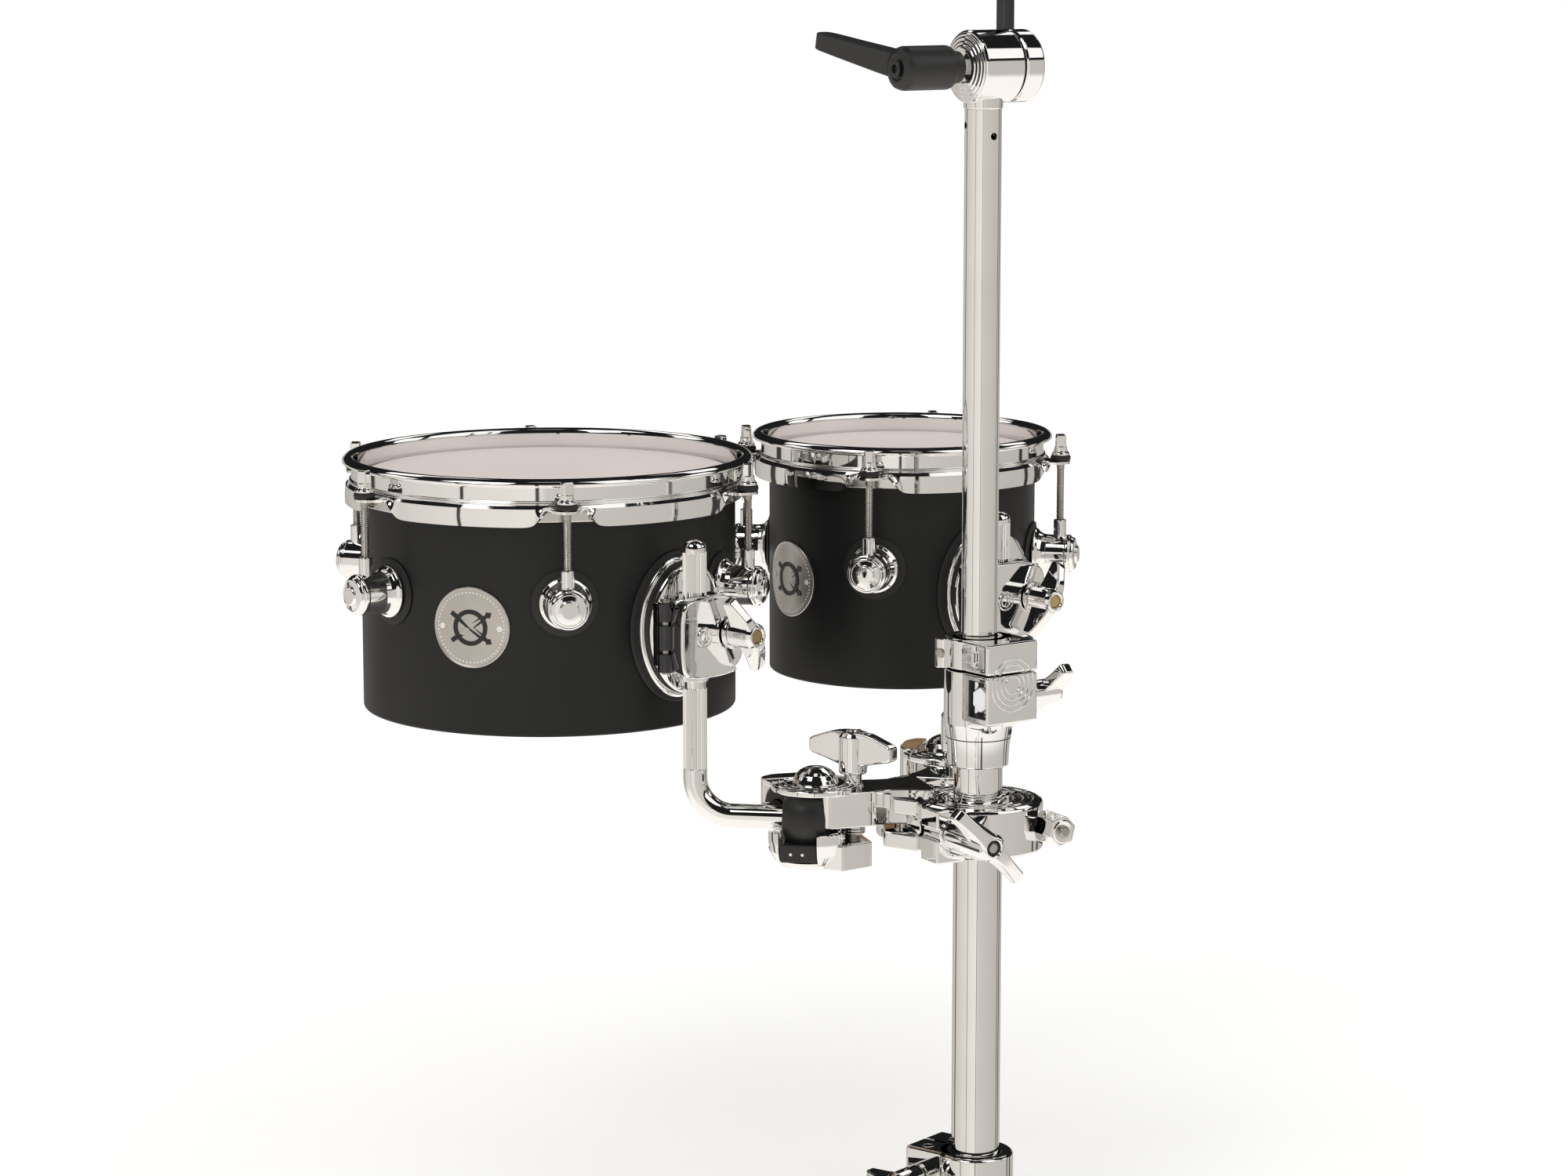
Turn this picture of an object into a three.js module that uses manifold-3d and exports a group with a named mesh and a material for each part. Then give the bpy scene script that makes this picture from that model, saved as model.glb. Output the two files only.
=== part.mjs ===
// A pair of timbales, 8 inch and 6 inch, carried by L-shaped rods and a two-armed clamp on the
// upper section of a boom stand. Millimetres, +Z up. The origin is the centre of the foot of the
// stand's tube, and -Y is the player's side.
import * as THREE from "three";
import { mergeVertices } from "three/addons/utils/BufferGeometryUtils.js";
import Module from "manifold-3d";

const wasm = await Module();
wasm.setup();

// ---------------------------------------------------------------- driving dimensions
const GAP = 0.4; // clearance between neighbouring pieces
const ROUND = 40; // sides of the drums' circles
const SMALL_ROUND = 16; // sides of hardware circles

const SHELL = { height: 126.5, wall: 6, edge: 4.5 };
const HEAD = { film: 0.5, fleshDepth: 7.2, fleshWidth: 4.2 };
const HOOP = { top: 137.5, ear: 121.6, sheet: 2.2, foot: 112.5, flange: 9.8, skirt: 7.4 };
const ROD_OFFSET = 15.4; // tension rods stand this far outside the shell
const LUG = { base: 14.3, barrel: 12.5, cap: 9.8, length: 26, tube: 3.7, tubeTop: 19.5 };
const BADGE = { radius: 21.8, height: 57.5, thick: 1 };
// rodOut and rodSide place the L-rod outside the shell and to the left of the mount's centre line
const MOUNT = {
  height: 54.5, halfWidth: 25.5, halfHeight: 38, thick: 2.6, rodOut: 24.9, rodSide: -10.1, boltSide: 6.5,
};

const LARGE = {
  name: "large",
  radius: 101.6,
  centre: [-229.2, 116.3],
  foot: 258,
  lugs: [8, 68, 128, 188, 248, 308],
  lugHeight: 71.3,
  badge: -20.5,
  mount: 44.5,
  wingTurn: -61,
  rodTop: 362.3,
};
const SMALL = {
  name: "small",
  radius: 76.2,
  centre: [-33.3, 245.5],
  foot: 254,
  lugs: [-13, 77, 167, 257],
  lugHeight: 68.8,
  badge: -57.6,
  mount: 36,
  wingTurn: 61,
  rodTop: 356.9,
};

const L_ROD = { radius: 6.35, bend: 20, sides: 12, steps: 66 };
const BALL = { radius: 17.5, halfLength: 10.5, height: 216 };
const BALL_CENTRES = { large: [-88, 9], small: [-4, 96] };

const TUBE = { outer: 12.7, inner: 10.6, top: 284.6 };
const INNER_TUBE = { outer: 9.5, inner: 7.6, foot: 150, top: 586.5 };
const CLAMP = { low: 203, high: 229.5, radius: 34, studs: 26, hub: [-19, 29], slot: [211, 221], turn: 30 };
const ARM = { low: 215, width: 27, cup: 22, jawLow: 192.5, jawHigh: 207, bolt: 24 }; // bolt: distance from ball to wing bolt
const HEIGHT_CLAMP = { low: 247, shoulder: 262, box: 272.5, high: 298.4, turn: 36 };
const LOCK = { low: 298.8, high: 315.2 };
const CLAMP_BOX = { reach: 28, halfWidth: 16.7, bolt: 19.5 };
const CLAMP_SEAT = 18; // from the split of the clamp to the seats of its nuts
const BASE_CLAMP = { low: 8, high: 39, radius: 20, reach: 34, halfWidth: 16.5, turn: 232 };
const TILTER = { height: 607.5, radius: 18.5, bearing: -57.3, face: 13.5, capStart: 14.1, capEnd: 26.3 };
const BOOM = { radius: 4.6, along: 20, behind: 9.4, foot: 592, top: 720 };

// ---------------------------------------------------------------- materials
const standard = (color, roughness, metalness) =>
  new THREE.MeshStandardMaterial({ color, roughness, metalness });
const chrome = standard(0xd9d9dc, 0.08, 1);
const lacquer = standard(0x141414, 0.45, 0);
const film = standard(0xd6cec8, 0.5, 0);
const aluminium = standard(0xc9c8c2, 0.35, 1);
const plastic = standard(0x1b1b1b, 0.5, 0);
const steel = standard(0xa9a59b, 0.3, 1);

// ---------------------------------------------------------------- solids and placing
// A closed three.js geometry as a solid, whichever way its faces point.
function solidOf(geometry) {
  const bare = geometry.index ? geometry.toNonIndexed() : geometry.clone();
  for (const name of Object.keys(bare.attributes)) if (name !== "position") bare.deleteAttribute(name);
  const merged = mergeVertices(bare, 1e-3);
  const triVerts = new Uint32Array(merged.index.array);
  const vertProperties = merged.attributes.position.array;
  const make = () => new wasm.Manifold(new wasm.Mesh({ numProp: 3, vertProperties, triVerts }));
  const solid = make();
  if (solid.volume() > 0) return solid;
  for (let i = 0; i < triVerts.length; i += 3) {
    [triVerts[i + 1], triVerts[i + 2]] = [triVerts[i + 2], triVerts[i + 1]];
  }
  return make();
}

function geometryOf(solid) {
  const made = solid.getMesh();
  const points = new Float32Array(made.numVert * 3);
  for (let i = 0; i < made.numVert; i++) {
    points.set(made.vertProperties.subarray(i * made.numProp, i * made.numProp + 3), i * 3);
  }
  const geometry = new THREE.BufferGeometry();
  geometry.setAttribute("position", new THREE.BufferAttribute(points, 3));
  geometry.setIndex(new THREE.BufferAttribute(made.triVerts, 1));
  geometry.computeVertexNormals();
  return geometry;
}

const radians = THREE.MathUtils.degToRad;
const joined = (...solids) => solids.reduce((a, b) => a.add(b));
const cut = (solid, ...tools) => tools.reduce((a, b) => a.subtract(b), solid);

// Moves a geometry to an origin, with its own axes along the two given directions.
function placed(geometry, origin, xAxis = [1, 0, 0], zAxis = [0, 0, 1]) {
  const x = new THREE.Vector3(...xAxis).normalize();
  const z = new THREE.Vector3(...zAxis).normalize();
  const y = new THREE.Vector3().crossVectors(z, x);
  const matrix = new THREE.Matrix4().makeBasis(x, y, z).setPosition(...origin);
  return geometry.clone().applyMatrix4(matrix);
}

// A profile of [radius, height] points turned round +Z.
function turned(profile, sides = SMALL_ROUND) {
  const points = profile.map(([r, z]) => new THREE.Vector2(r, z));
  if (profile[0][0] > 0) points.push(points[0].clone());
  return new THREE.LatheGeometry(points, sides).rotateX(Math.PI / 2);
}

const disc = (radius, low, high, sides) =>
  turned([[0, low], [radius, low], [radius, high], [0, high]], sides);
const block = (x0, x1, y0, y1, z0, z1) =>
  new THREE.BoxGeometry(x1 - x0, y1 - y0, z1 - z0).translate((x0 + x1) / 2, (y0 + y1) / 2, (z0 + z1) / 2);
const slab = (shape, low, high, curveSegments = 8) =>
  new THREE.ExtrudeGeometry(shape, { depth: high - low, bevelEnabled: false, curveSegments })
    .translate(0, 0, low);
const outline = (points) => new THREE.Shape(points.map(([x, y]) => new THREE.Vector2(x, y)));

function mesh(name, solid, material, parent) {
  const made = new THREE.Mesh(geometryOf(solid), material);
  made.name = name;
  parent.add(made);
  return made;
}

// Directions in plan: bearing 0 looks to the player (-Y) and turns towards +X.
const outward = (bearing) => [Math.sin(radians(bearing)), -Math.cos(radians(bearing)), 0];
const sideways = (bearing) => [Math.cos(radians(bearing)), Math.sin(radians(bearing)), 0];
const alongPlan = (from, bearing, out, side, z) => {
  const o = outward(bearing);
  const s = sideways(bearing);
  return [from[0] + o[0] * out + s[0] * side, from[1] + o[1] * out + s[1] * side, z];
};

// A hub with two wings, turned about its own +Z axis, which is the screw's axis.
function wingGeometry({ foot, hub, hubRadius, low, high, span, thick }) {
  const half = span / 2;
  const rise = high - low;
  const wings = outline([
    [-hubRadius * 0.7, low - rise * 0.35],
    [-half * 0.72, low + rise * 0.1],
    [-half, low + rise * 0.35],
    [-half + 1.5, high],
    [-half * 0.62, high - rise * 0.05],
    [0, high - rise * 0.3],
    [half * 0.62, high - rise * 0.05],
    [half - 1.5, high],
    [half, low + rise * 0.35],
    [half * 0.72, low + rise * 0.1],
    [hubRadius * 0.7, low - rise * 0.35],
  ]);
  const plate = slab(wings, -thick / 2, thick / 2).rotateX(Math.PI / 2);
  return joined(solidOf(disc(hubRadius, foot, hub)), solidOf(plate));
}

// ---------------------------------------------------------------- one drum
function makeShell(drum) {
  const r = drum.radius;
  const inner = r - SHELL.wall;
  return solidOf(turned([
    [r, 0], [r, SHELL.height - 1.5], [r - 1.5, SHELL.height],
    [inner, SHELL.height - SHELL.edge], [inner, 0],
  ], ROUND));
}

// The film is stretched over the bearing edge and held in a flesh hoop outside the shell.
function makeHead(drum) {
  const r = drum.radius;
  const under = SHELL.height + 0.3;
  const over = under + HEAD.film;
  const fleshTop = HOOP.ear - GAP;
  return solidOf(turned([
    [0, under], [r + GAP, under], [r + GAP, fleshTop - HEAD.fleshDepth],
    [r + GAP + HEAD.fleshWidth, fleshTop - HEAD.fleshDepth], [r + GAP + HEAD.fleshWidth, fleshTop],
    [r + 1, fleshTop], [r + 1, over], [0, over],
  ], ROUND));
}

// A flanged steel hoop: rolled rim, upright wall, web over the flesh hoop, skirt, and an ear at each rod.
function makeHoop(drum) {
  const r = drum.radius;
  const s = HOOP.sheet;
  const inner = r + 2.4;
  const skirt = r + HOOP.skirt;
  const web = HOOP.ear + s;
  let hoop = solidOf(turned([
    [inner, HOOP.ear], [skirt - s, HOOP.ear], [skirt - s, HOOP.foot], [skirt, HOOP.foot],
    [skirt, web], [inner + s, web], [inner + s, HOOP.top - s], [r + HOOP.flange, HOOP.top - s],
    [r + HOOP.flange, HOOP.top], [inner, HOOP.top],
  ], ROUND));
  const earHalf = 6;
  for (const bearing of drum.lugs) {
    const ear = outline([[-earHalf, -10], [earHalf, -10], [earHalf, 0]]);
    ear.absarc(0, 0, earHalf, 0, Math.PI);
    const hole = new THREE.Path();
    hole.absarc(0, 0, 3.1, 0, Math.PI * 2);
    ear.holes.push(hole);
    const tab = placed(
      slab(ear, HOOP.ear, web, 6),
      alongPlan([0, 0], bearing, r + ROD_OFFSET, 0, 0),
      sideways(bearing).map((v) => -v),
    );
    hoop = hoop.add(solidOf(tab));
  }
  return hoop;
}

// A turret lug, its axis +Z out of the shell and +Y up, with the swivel tube that takes the rod.
function makeLug() {
  const { base, barrel, cap, length, tube, tubeTop } = LUG;
  const turret = solidOf(turned([
    [0, 0], [base, 0], [base, 2.3], [barrel, 2.3], [barrel, 9.4], [cap, 9.4],
    [cap, length - 2], [cap - 2, length], [0, length],
  ], 14));
  const upright = placed(disc(tube, 0, tubeTop, 10), [0, 0, ROD_OFFSET], [1, 0, 0], [0, 1, 0]);
  const bore = placed(disc(2.95, 8, tubeTop + 1, 10), [0, 0, ROD_OFFSET], [1, 0, 0], [0, 1, 0]);
  return cut(joined(turret, solidOf(upright)), solidOf(bore));
}

function makeTensionRod(drum) {
  const foot = drum.lugHeight + 10;
  const seat = HOOP.ear + HOOP.sheet + GAP;
  const shaft = solidOf(turned([
    [0, foot], [2.5, foot], [2.5, seat], [5.6, seat], [5.6, seat + 2], [4.2, seat + 3],
    [4.2, seat + 6], [0, seat + 6],
  ], 8));
  return shaft.add(solidOf(block(-3.1, 3.1, -3.1, 3.1, seat + 5, seat + 14)));
}

// A slice of the cylinder round the shell, in the outline of an ellipse seen from outside.
function curvedPlate(drum, halfWidth, halfHeight, inner, outer) {
  const r = drum.radius;
  const shape = new THREE.Shape().absellipse(0, 0, halfWidth, halfHeight, 0, Math.PI * 2);
  const prism = slab(shape, r * 0.6, r + outer + 5, 16).rotateX(Math.PI / 2);
  const band = turned([
    [r + inner, -halfHeight - 5], [r + outer, -halfHeight - 5],
    [r + outer, halfHeight + 5], [r + inner, halfHeight + 5],
  ], ROUND);
  return solidOf(band).intersect(solidOf(prism));
}

// The casting that grips the L-rod: a neck on the plate, and a block with an upright bore.
// Its own axes are +X sideways, +Y out of the shell and +Z up, from the drum's axis.
function makeBracket(drum) {
  const r = drum.radius;
  const { rodOut, rodSide, boltSide, thick } = MOUNT;
  const neck = solidOf(block(-17, 17, r + thick + 2, r + 14, -24, 24));
  const grip = solidOf(block(rodSide - 18, rodSide + 26, r + 12, r + rodOut + 12.5, -22, 22));
  const bore = solidOf(disc(L_ROD.radius + GAP, -30, 30, SMALL_ROUND).translate(rodSide, r + rodOut, 0));
  const boltHole = solidOf(placed(disc(3.9, 0, 40, 12), [boltSide, r + 16, 0], [1, 0, 0], [0, 1, 0]));
  return cut(joined(neck, grip), bore, boltHole);
}

const bracketWing = wingGeometry({
  foot: 20.5, hub: 38, hubRadius: 7, low: 25, high: 38, span: 44, thick: 5.5,
}).add(solidOf(disc(3.5, 1, 22, 12)));

function makeDrum(drum, parent) {
  const group = new THREE.Group();
  group.position.set(...drum.centre, drum.foot);
  parent.add(group);
  const n = drum.name;
  mesh(`${n}_shell`, makeShell(drum), lacquer, group);
  mesh(`${n}_head`, makeHead(drum), film, group);
  mesh(`${n}_hoop`, makeHoop(drum), chrome, group);
  drum.lugs.forEach((bearing, i) => {
    const lug = mesh(`${n}_lug_${i + 1}`, makeLug(), chrome, group);
    const basis = new THREE.Matrix4().makeBasis(
      new THREE.Vector3(...sideways(bearing)),
      new THREE.Vector3(0, 0, 1),
      new THREE.Vector3(...outward(bearing)),
    );
    lug.quaternion.setFromRotationMatrix(basis);
    lug.position.set(...alongPlan([0, 0], bearing, drum.radius + GAP, 0, drum.lugHeight));
    const rod = mesh(`${n}_tension_rod_${i + 1}`, makeTensionRod(drum), steel, group);
    rod.position.set(...alongPlan([0, 0], bearing, drum.radius + GAP + ROD_OFFSET, 0, 0));
    rod.rotation.z = radians(bearing);
  });
  const badge = mesh(
    `${n}_badge`,
    curvedPlate(drum, BADGE.radius, BADGE.radius, GAP, GAP + BADGE.thick),
    aluminium,
    group,
  );
  badge.rotation.z = radians(drum.badge);
  badge.position.z = BADGE.height;

  const mount = new THREE.Group();
  mount.rotation.z = radians(drum.mount);
  mount.position.z = MOUNT.height;
  group.add(mount);
  mesh(
    `${n}_mount_plate`,
    curvedPlate(drum, MOUNT.halfWidth, MOUNT.halfHeight, 1.6, 1.6 + MOUNT.thick),
    chrome,
    mount,
  );
  mesh(`${n}_mount_bracket`, makeBracket(drum).mirror([0, 1, 0]), chrome, mount);
  const wing = mesh(`${n}_mount_wing`, bracketWing, chrome, mount);
  wing.position.set(MOUNT.boltSide, -(drum.radius + 17.5), 0);
  wing.quaternion.setFromUnitVectors(new THREE.Vector3(0, 0, 1), new THREE.Vector3(0, -1, 0));
  wing.rotateZ(radians(drum.wingTurn));
}

// ---------------------------------------------------------------- L-rods and ball joints
// The upright line of a drum's L-rod in plan.
const uprightOf = (drum) =>
  alongPlan(drum.centre, drum.mount, drum.radius + MOUNT.rodOut, MOUNT.rodSide, 0).slice(0, 2);

// A path that runs straight down, turns a quarter round the bend, and runs level.
class LRodPath extends THREE.Curve {
  constructor(top, low, reach) {
    super();
    Object.assign(this, { top, low, reach });
  }
  getPoint(t, target = new THREE.Vector3()) {
    const { top, low, reach } = this;
    const down = top - low - L_ROD.bend;
    const turn = (L_ROD.bend * Math.PI) / 2;
    const level = reach - L_ROD.bend;
    const s = t * (down + turn + level);
    if (s < down) return target.set(0, 0, top - s);
    if (s > down + turn) return target.set(L_ROD.bend + s - down - turn, 0, low);
    const angle = (s - down) / L_ROD.bend;
    return target.set(L_ROD.bend * (1 - Math.cos(angle)), 0, low + L_ROD.bend * (1 - Math.sin(angle)));
  }
}

function levelDirection(drum) {
  const [x, y] = uprightOf(drum);
  const [bx, by] = BALL_CENTRES[drum.name];
  return new THREE.Vector3(bx - x, by - y, 0);
}

function makeLRod(drum, parent) {
  const points = Array.from({ length: L_ROD.sides }, (_, i) => {
    const angle = (i / L_ROD.sides) * Math.PI * 2;
    return [L_ROD.radius * Math.cos(angle), L_ROD.radius * Math.sin(angle)];
  });
  const direction = levelDirection(drum);
  const path = new LRodPath(drum.rodTop, BALL.height, direction.length() + BALL.halfLength + 6);
  const bar = new THREE.ExtrudeGeometry(outline(points), {
    steps: L_ROD.steps,
    bevelEnabled: false,
    extrudePath: path,
  });
  const rod = mesh(`${drum.name}_l_rod`, solidOf(bar).simplify(0.005), chrome, parent);
  rod.position.set(...uprightOf(drum), 0);
  rod.rotation.z = Math.atan2(direction.y, direction.x);
}

function makeBall(drum, parent) {
  const direction = levelDirection(drum).normalize();
  const globe = solidOf(new THREE.SphereGeometry(BALL.radius, 16, 10));
  const across = (radius, reach, sides) =>
    solidOf(placed(disc(radius, -reach, reach, sides), [0, 0, 0], [0, 0, 1], direction.toArray()));
  const barrel = globe.intersect(across(BALL.radius + 5, BALL.halfLength, 24));
  const bored = barrel.subtract(across(L_ROD.radius + 0.6, 30, 12));
  const ball = mesh(`${drum.name}_ball`, bored, plastic, parent);
  ball.position.set(...BALL_CENTRES[drum.name], BALL.height);
}

// ---------------------------------------------------------------- two-armed clamp
// Everything an arm needs: its line in plan from hub to ball, and the bearing of the L-rod's way out.
function armOf(drum) {
  const [bx, by] = BALL_CENTRES[drum.name];
  const [hx, hy] = CLAMP.hub;
  const toHub = new THREE.Vector3(hx - bx, hy - by, 0);
  const length = toHub.length();
  const out = levelDirection(drum).negate().normalize();
  return { centre: [bx, by], toHub: toHub.normalize().toArray(), length, out: out.toArray() };
}

// The outline of a slice of a circle, from one angle to another.
function slice(radius, from, to, steps) {
  const points = [[0, 0]];
  for (let i = 0; i <= steps; i++) {
    const angle = from + ((to - from) * i) / steps;
    points.push([radius * Math.cos(angle), radius * Math.sin(angle)]);
  }
  return outline(points);
}

// Space that the ball and the swinging L-rod need inside the cups.
function ballSpace(arm) {
  const seat = [...arm.centre, BALL.height];
  const globe = new THREE.SphereGeometry(BALL.radius + 0.8, 16, 10).translate(...seat);
  const swing = radians(38);
  const slot = placed(slab(slice(45, -swing, swing, 5), -7.4, 7.4), seat, arm.out);
  const back = placed(slab(slice(23, Math.PI - swing, Math.PI + swing, 4), -7.4, 7.4), seat, arm.out);
  return joined(solidOf(globe), solidOf(slot), solidOf(back));
}

// The front of a cup is cut away so that the ball shows between the cup's lid and its jaw.
function cupWindow(arm, low, high) {
  const reach = BALL.halfLength + 1;
  return solidOf(placed(block(-reach, reach, 0, 40, low, high), [...arm.centre, 0], arm.out));
}

const armBoltHole = ({ centre, toHub }) =>
  solidOf(disc(4.4, 180, 240, 12).translate(
    centre[0] + toHub[0] * ARM.bolt, centre[1] + toHub[1] * ARM.bolt, 0,
  ));

function upperArm(drum) {
  const arm = armOf(drum);
  const bar = placed(
    block(0, arm.length, -ARM.width / 2, ARM.width / 2, ARM.low, CLAMP.high),
    [...arm.centre, 0],
    arm.toHub,
  );
  const top = CLAMP.high;
  const cup = turned([
    [0, BALL.height + 2], [ARM.cup, BALL.height + 2], [ARM.cup, top], [16.5, top + 1.6], [16.5, top + 3.5],
    [11, top + 4.5], [9.5, top + 8.5], [4, top + 11.5], [0, top + 11.5],
  ]).translate(...arm.centre, 0);
  const window = cupWindow(arm, BALL.height - 5, CLAMP.high - 3);
  return {
    solid: joined(solidOf(bar), solidOf(cup)),
    space: joined(ballSpace(arm), armBoltHole(arm), window),
  };
}

function makeArmJaw(drum, parent) {
  const arm = armOf(drum);
  const { jawLow, jawHigh, cup, bolt } = ARM;
  const bar = placed(block(0, bolt + 6, -12, 12, jawLow, jawHigh), [...arm.centre, 0], arm.toHub);
  const bowl = turned([
    [0, jawLow], [cup - 7, jawLow], [cup - 1.5, jawHigh - 4], [cup, jawHigh + 4], [0, jawHigh + 4],
  ]).translate(...arm.centre, 0);
  const window = cupWindow(arm, jawLow + 5.5, BALL.height + 5);
  const jaw = cut(joined(solidOf(bar), solidOf(bowl)), ballSpace(arm), armBoltHole(arm), window);
  mesh(`${drum.name}_arm_jaw`, jaw, chrome, parent);
}

const armWing = wingGeometry({
  foot: 2.6, hub: 30, hubRadius: 6.8, low: 15, high: 31, span: 50, thick: 7,
}).add(solidOf(disc(4, -37, 4, 12)));

function makeArmWing(drum, turn, parent) {
  const arm = armOf(drum);
  const wing = mesh(`${drum.name}_arm_wing`, armWing, chrome, parent);
  wing.position.set(
    arm.centre[0] + arm.toHub[0] * ARM.bolt, arm.centre[1] + arm.toHub[1] * ARM.bolt, CLAMP.high + GAP,
  );
  wing.rotation.z = radians(turn);
}

// The clamp is split across the tube. Its own axes are +X along the split and +Y away from the player.
function ringHalf(front) {
  const across = front ? [-60, -1.2] : [1.2, 60];
  const ring = disc(CLAMP.radius, CLAMP.low, CLAMP.high, 32);
  const lug = block(-CLAMP.radius, -CLAMP.radius + 15, -18, 18, CLAMP.low, CLAMP.high);
  const side = block(-60, 60, across[0], across[1], CLAMP.low - 5, CLAMP.high + 5);
  const bore = disc(TUBE.outer + GAP, CLAMP.low - 5, CLAMP.high + 5, 32);
  return cut(joined(solidOf(ring), solidOf(lug)).intersect(solidOf(side)), solidOf(bore));
}

// Flat seats for the nuts in front of the two studs.
const nutSeat = (x) =>
  solidOf(placed(disc(10.5, CLAMP_SEAT, 60), [x, 0, BALL.height], [1, 0, 0], [0, -1, 0]));
const studHole = (x) =>
  solidOf(placed(disc(3.9, -17, 80, 12), [x, 0, BALL.height], [1, 0, 0], [0, -1, 0]));

function turnedAboutTube(solid, turn) {
  return solidOf(geometryOf(solid).rotateZ(radians(turn)));
}

function makePoleClamp(parent) {
  const group = new THREE.Group();
  group.rotation.z = radians(CLAMP.turn);
  parent.add(group);
  const holes = [studHole(-CLAMP.studs), studHole(CLAMP.studs)];
  const seats = [nutSeat(-CLAMP.studs), nutSeat(CLAMP.studs)];
  mesh("clamp_jaw", cut(ringHalf(true), ...holes, ...seats), chrome, group);

  const large = upperArm(LARGE);
  const small = upperArm(SMALL);
  const hub = turned([
    [0, CLAMP.low], [CLAMP.radius, CLAMP.low], [CLAMP.radius, CLAMP.high],
    [CLAMP.radius - 3, CLAMP.high + 1.5], [0, CLAMP.high + 1.5],
  ], 32).translate(...CLAMP.hub, 0);
  const slot = solidOf(block(-34, 4, -30, 6, ...CLAMP.slot));
  const arms = joined(large.solid, small.solid, solidOf(hub));
  const clear = solidOf(disc(CLAMP.radius + 0.1, 150, 300, 32));
  const ring = turnedAboutTube(cut(ringHalf(false), ...holes), CLAMP.turn);
  const body = cut(cut(arms, clear, slot).add(ring), large.space, small.space);
  mesh("clamp_body", body, chrome, parent);

  const stud = (reach) => solidOf(disc(3.5, -16, reach, 12));
  const left = mesh("clamp_wing_stud", stud(60), steel, group);
  const hexBolt = stud(52).add(solidOf(disc(8, CLAMP_SEAT + GAP, 46, 6)));
  const hex = mesh("clamp_hex_bolt", hexBolt, chrome, group);
  const wingNut = wingGeometry({
    foot: CLAMP_SEAT + GAP, hub: 56, hubRadius: 7.5, low: 43, high: 58, span: 56, thick: 7,
  }).subtract(solidOf(disc(3.9, 0, 70, 12)));
  const wing = mesh("clamp_wing_nut", wingNut, chrome, group);
  for (const [piece, x, turn] of [[left, -1, 0], [wing, -1, -45], [hex, 1, 0]]) {
    piece.position.set(x * CLAMP.studs, 0, BALL.height);
    piece.quaternion.setFromUnitVectors(new THREE.Vector3(0, 0, 1), new THREE.Vector3(0, -1, 0));
    piece.rotateZ(radians(turn));
  }
}

// ---------------------------------------------------------------- stand
// A clamp box that reaches out from a collar towards its own -Y.
const clampBox = (halfWidth, reach, low, high) => solidOf(block(-halfWidth, halfWidth, -reach, 0, low, high));

function makeTubes(parent) {
  const { outer, inner, top } = TUBE;
  const lower = turned([[0, 0], [outer, 0], [outer, top], [inner, top], [inner, 10], [0, 10]], 32);
  mesh("lower_tube", solidOf(lower), chrome, parent);
  const { outer: wide, inner: bore, foot, top: end } = INNER_TUBE;
  const upper = turned([[bore, foot], [wide, foot], [wide, end], [bore, end]], 32);
  mesh("upper_tube", solidOf(upper), chrome, parent);
}

function makeHeightClamp(parent) {
  const group = new THREE.Group();
  group.rotation.z = radians(HEIGHT_CLAMP.turn);
  parent.add(group);
  const { low, shoulder, box, high } = HEIGHT_CLAMP;
  const { reach, halfWidth, bolt } = CLAMP_BOX;
  const collar = solidOf(turned([[0, low], [15.6, low], [18, shoulder], [18, high], [0, high]], 32));
  const lowBore = solidOf(disc(TUBE.outer + GAP, low - 5, TUBE.top + GAP, 32));
  const topBore = solidOf(disc(INNER_TUBE.outer + GAP, low, high + 5, 32));
  const boltHole = solidOf(placed(disc(3.4, -20, 20, 12), [0, -bolt, 285.5], [0, 0, 1], [1, 0, 0]));
  const pocket = solidOf(block(-halfWidth - 1, -halfWidth + 5.5, -bolt - 7.3, -bolt + 7.3, 276, 295));
  const body = cut(
    joined(collar, clampBox(halfWidth, reach, box, high)),
    lowBore, topBore, boltHole, pocket,
  );
  mesh("height_clamp", body, chrome, group);

  const hexBolt = joined(
    solidOf(disc(6.6, -halfWidth + 1, -halfWidth + 5, 6)),
    solidOf(disc(3, -halfWidth + 4, 26, 12)),
  );
  const bolts = mesh("height_bolt", hexBolt, steel, group);
  const wingNut = wingGeometry({
    foot: halfWidth + GAP, hub: 30, hubRadius: 6.5, low: 24, high: 37, span: 46, thick: 5.5,
  }).subtract(solidOf(disc(3.4, 0, 27.5, 12)));
  const wing = mesh("height_wing_nut", wingNut, chrome, group);
  for (const [piece, turn] of [[bolts, 0], [wing, 50]]) {
    piece.position.set(0, -bolt, 285.5);
    piece.quaternion.setFromUnitVectors(new THREE.Vector3(0, 0, 1), new THREE.Vector3(1, 0, 0));
    piece.rotateZ(radians(turn));
  }

  const bore = solidOf(disc(INNER_TUBE.outer + 0.3, LOCK.low - 5, LOCK.high + 5, 32));
  const hinge = solidOf(disc(5, LOCK.low, LOCK.high).translate(-16.5, 8, 0));
  const screwHole = solidOf(placed(disc(2.6, -1, 16, 12), [-11, -13, 307], [0, 0, 1], [-1, 0, 0]));
  const ring = solidOf(disc(18, LOCK.low, LOCK.high, 32));
  const lock = cut(
    joined(ring, hinge, clampBox(halfWidth, reach, LOCK.low, LOCK.high)),
    bore, screwHole,
  );
  mesh("memory_lock", lock, chrome, group);
}

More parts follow.
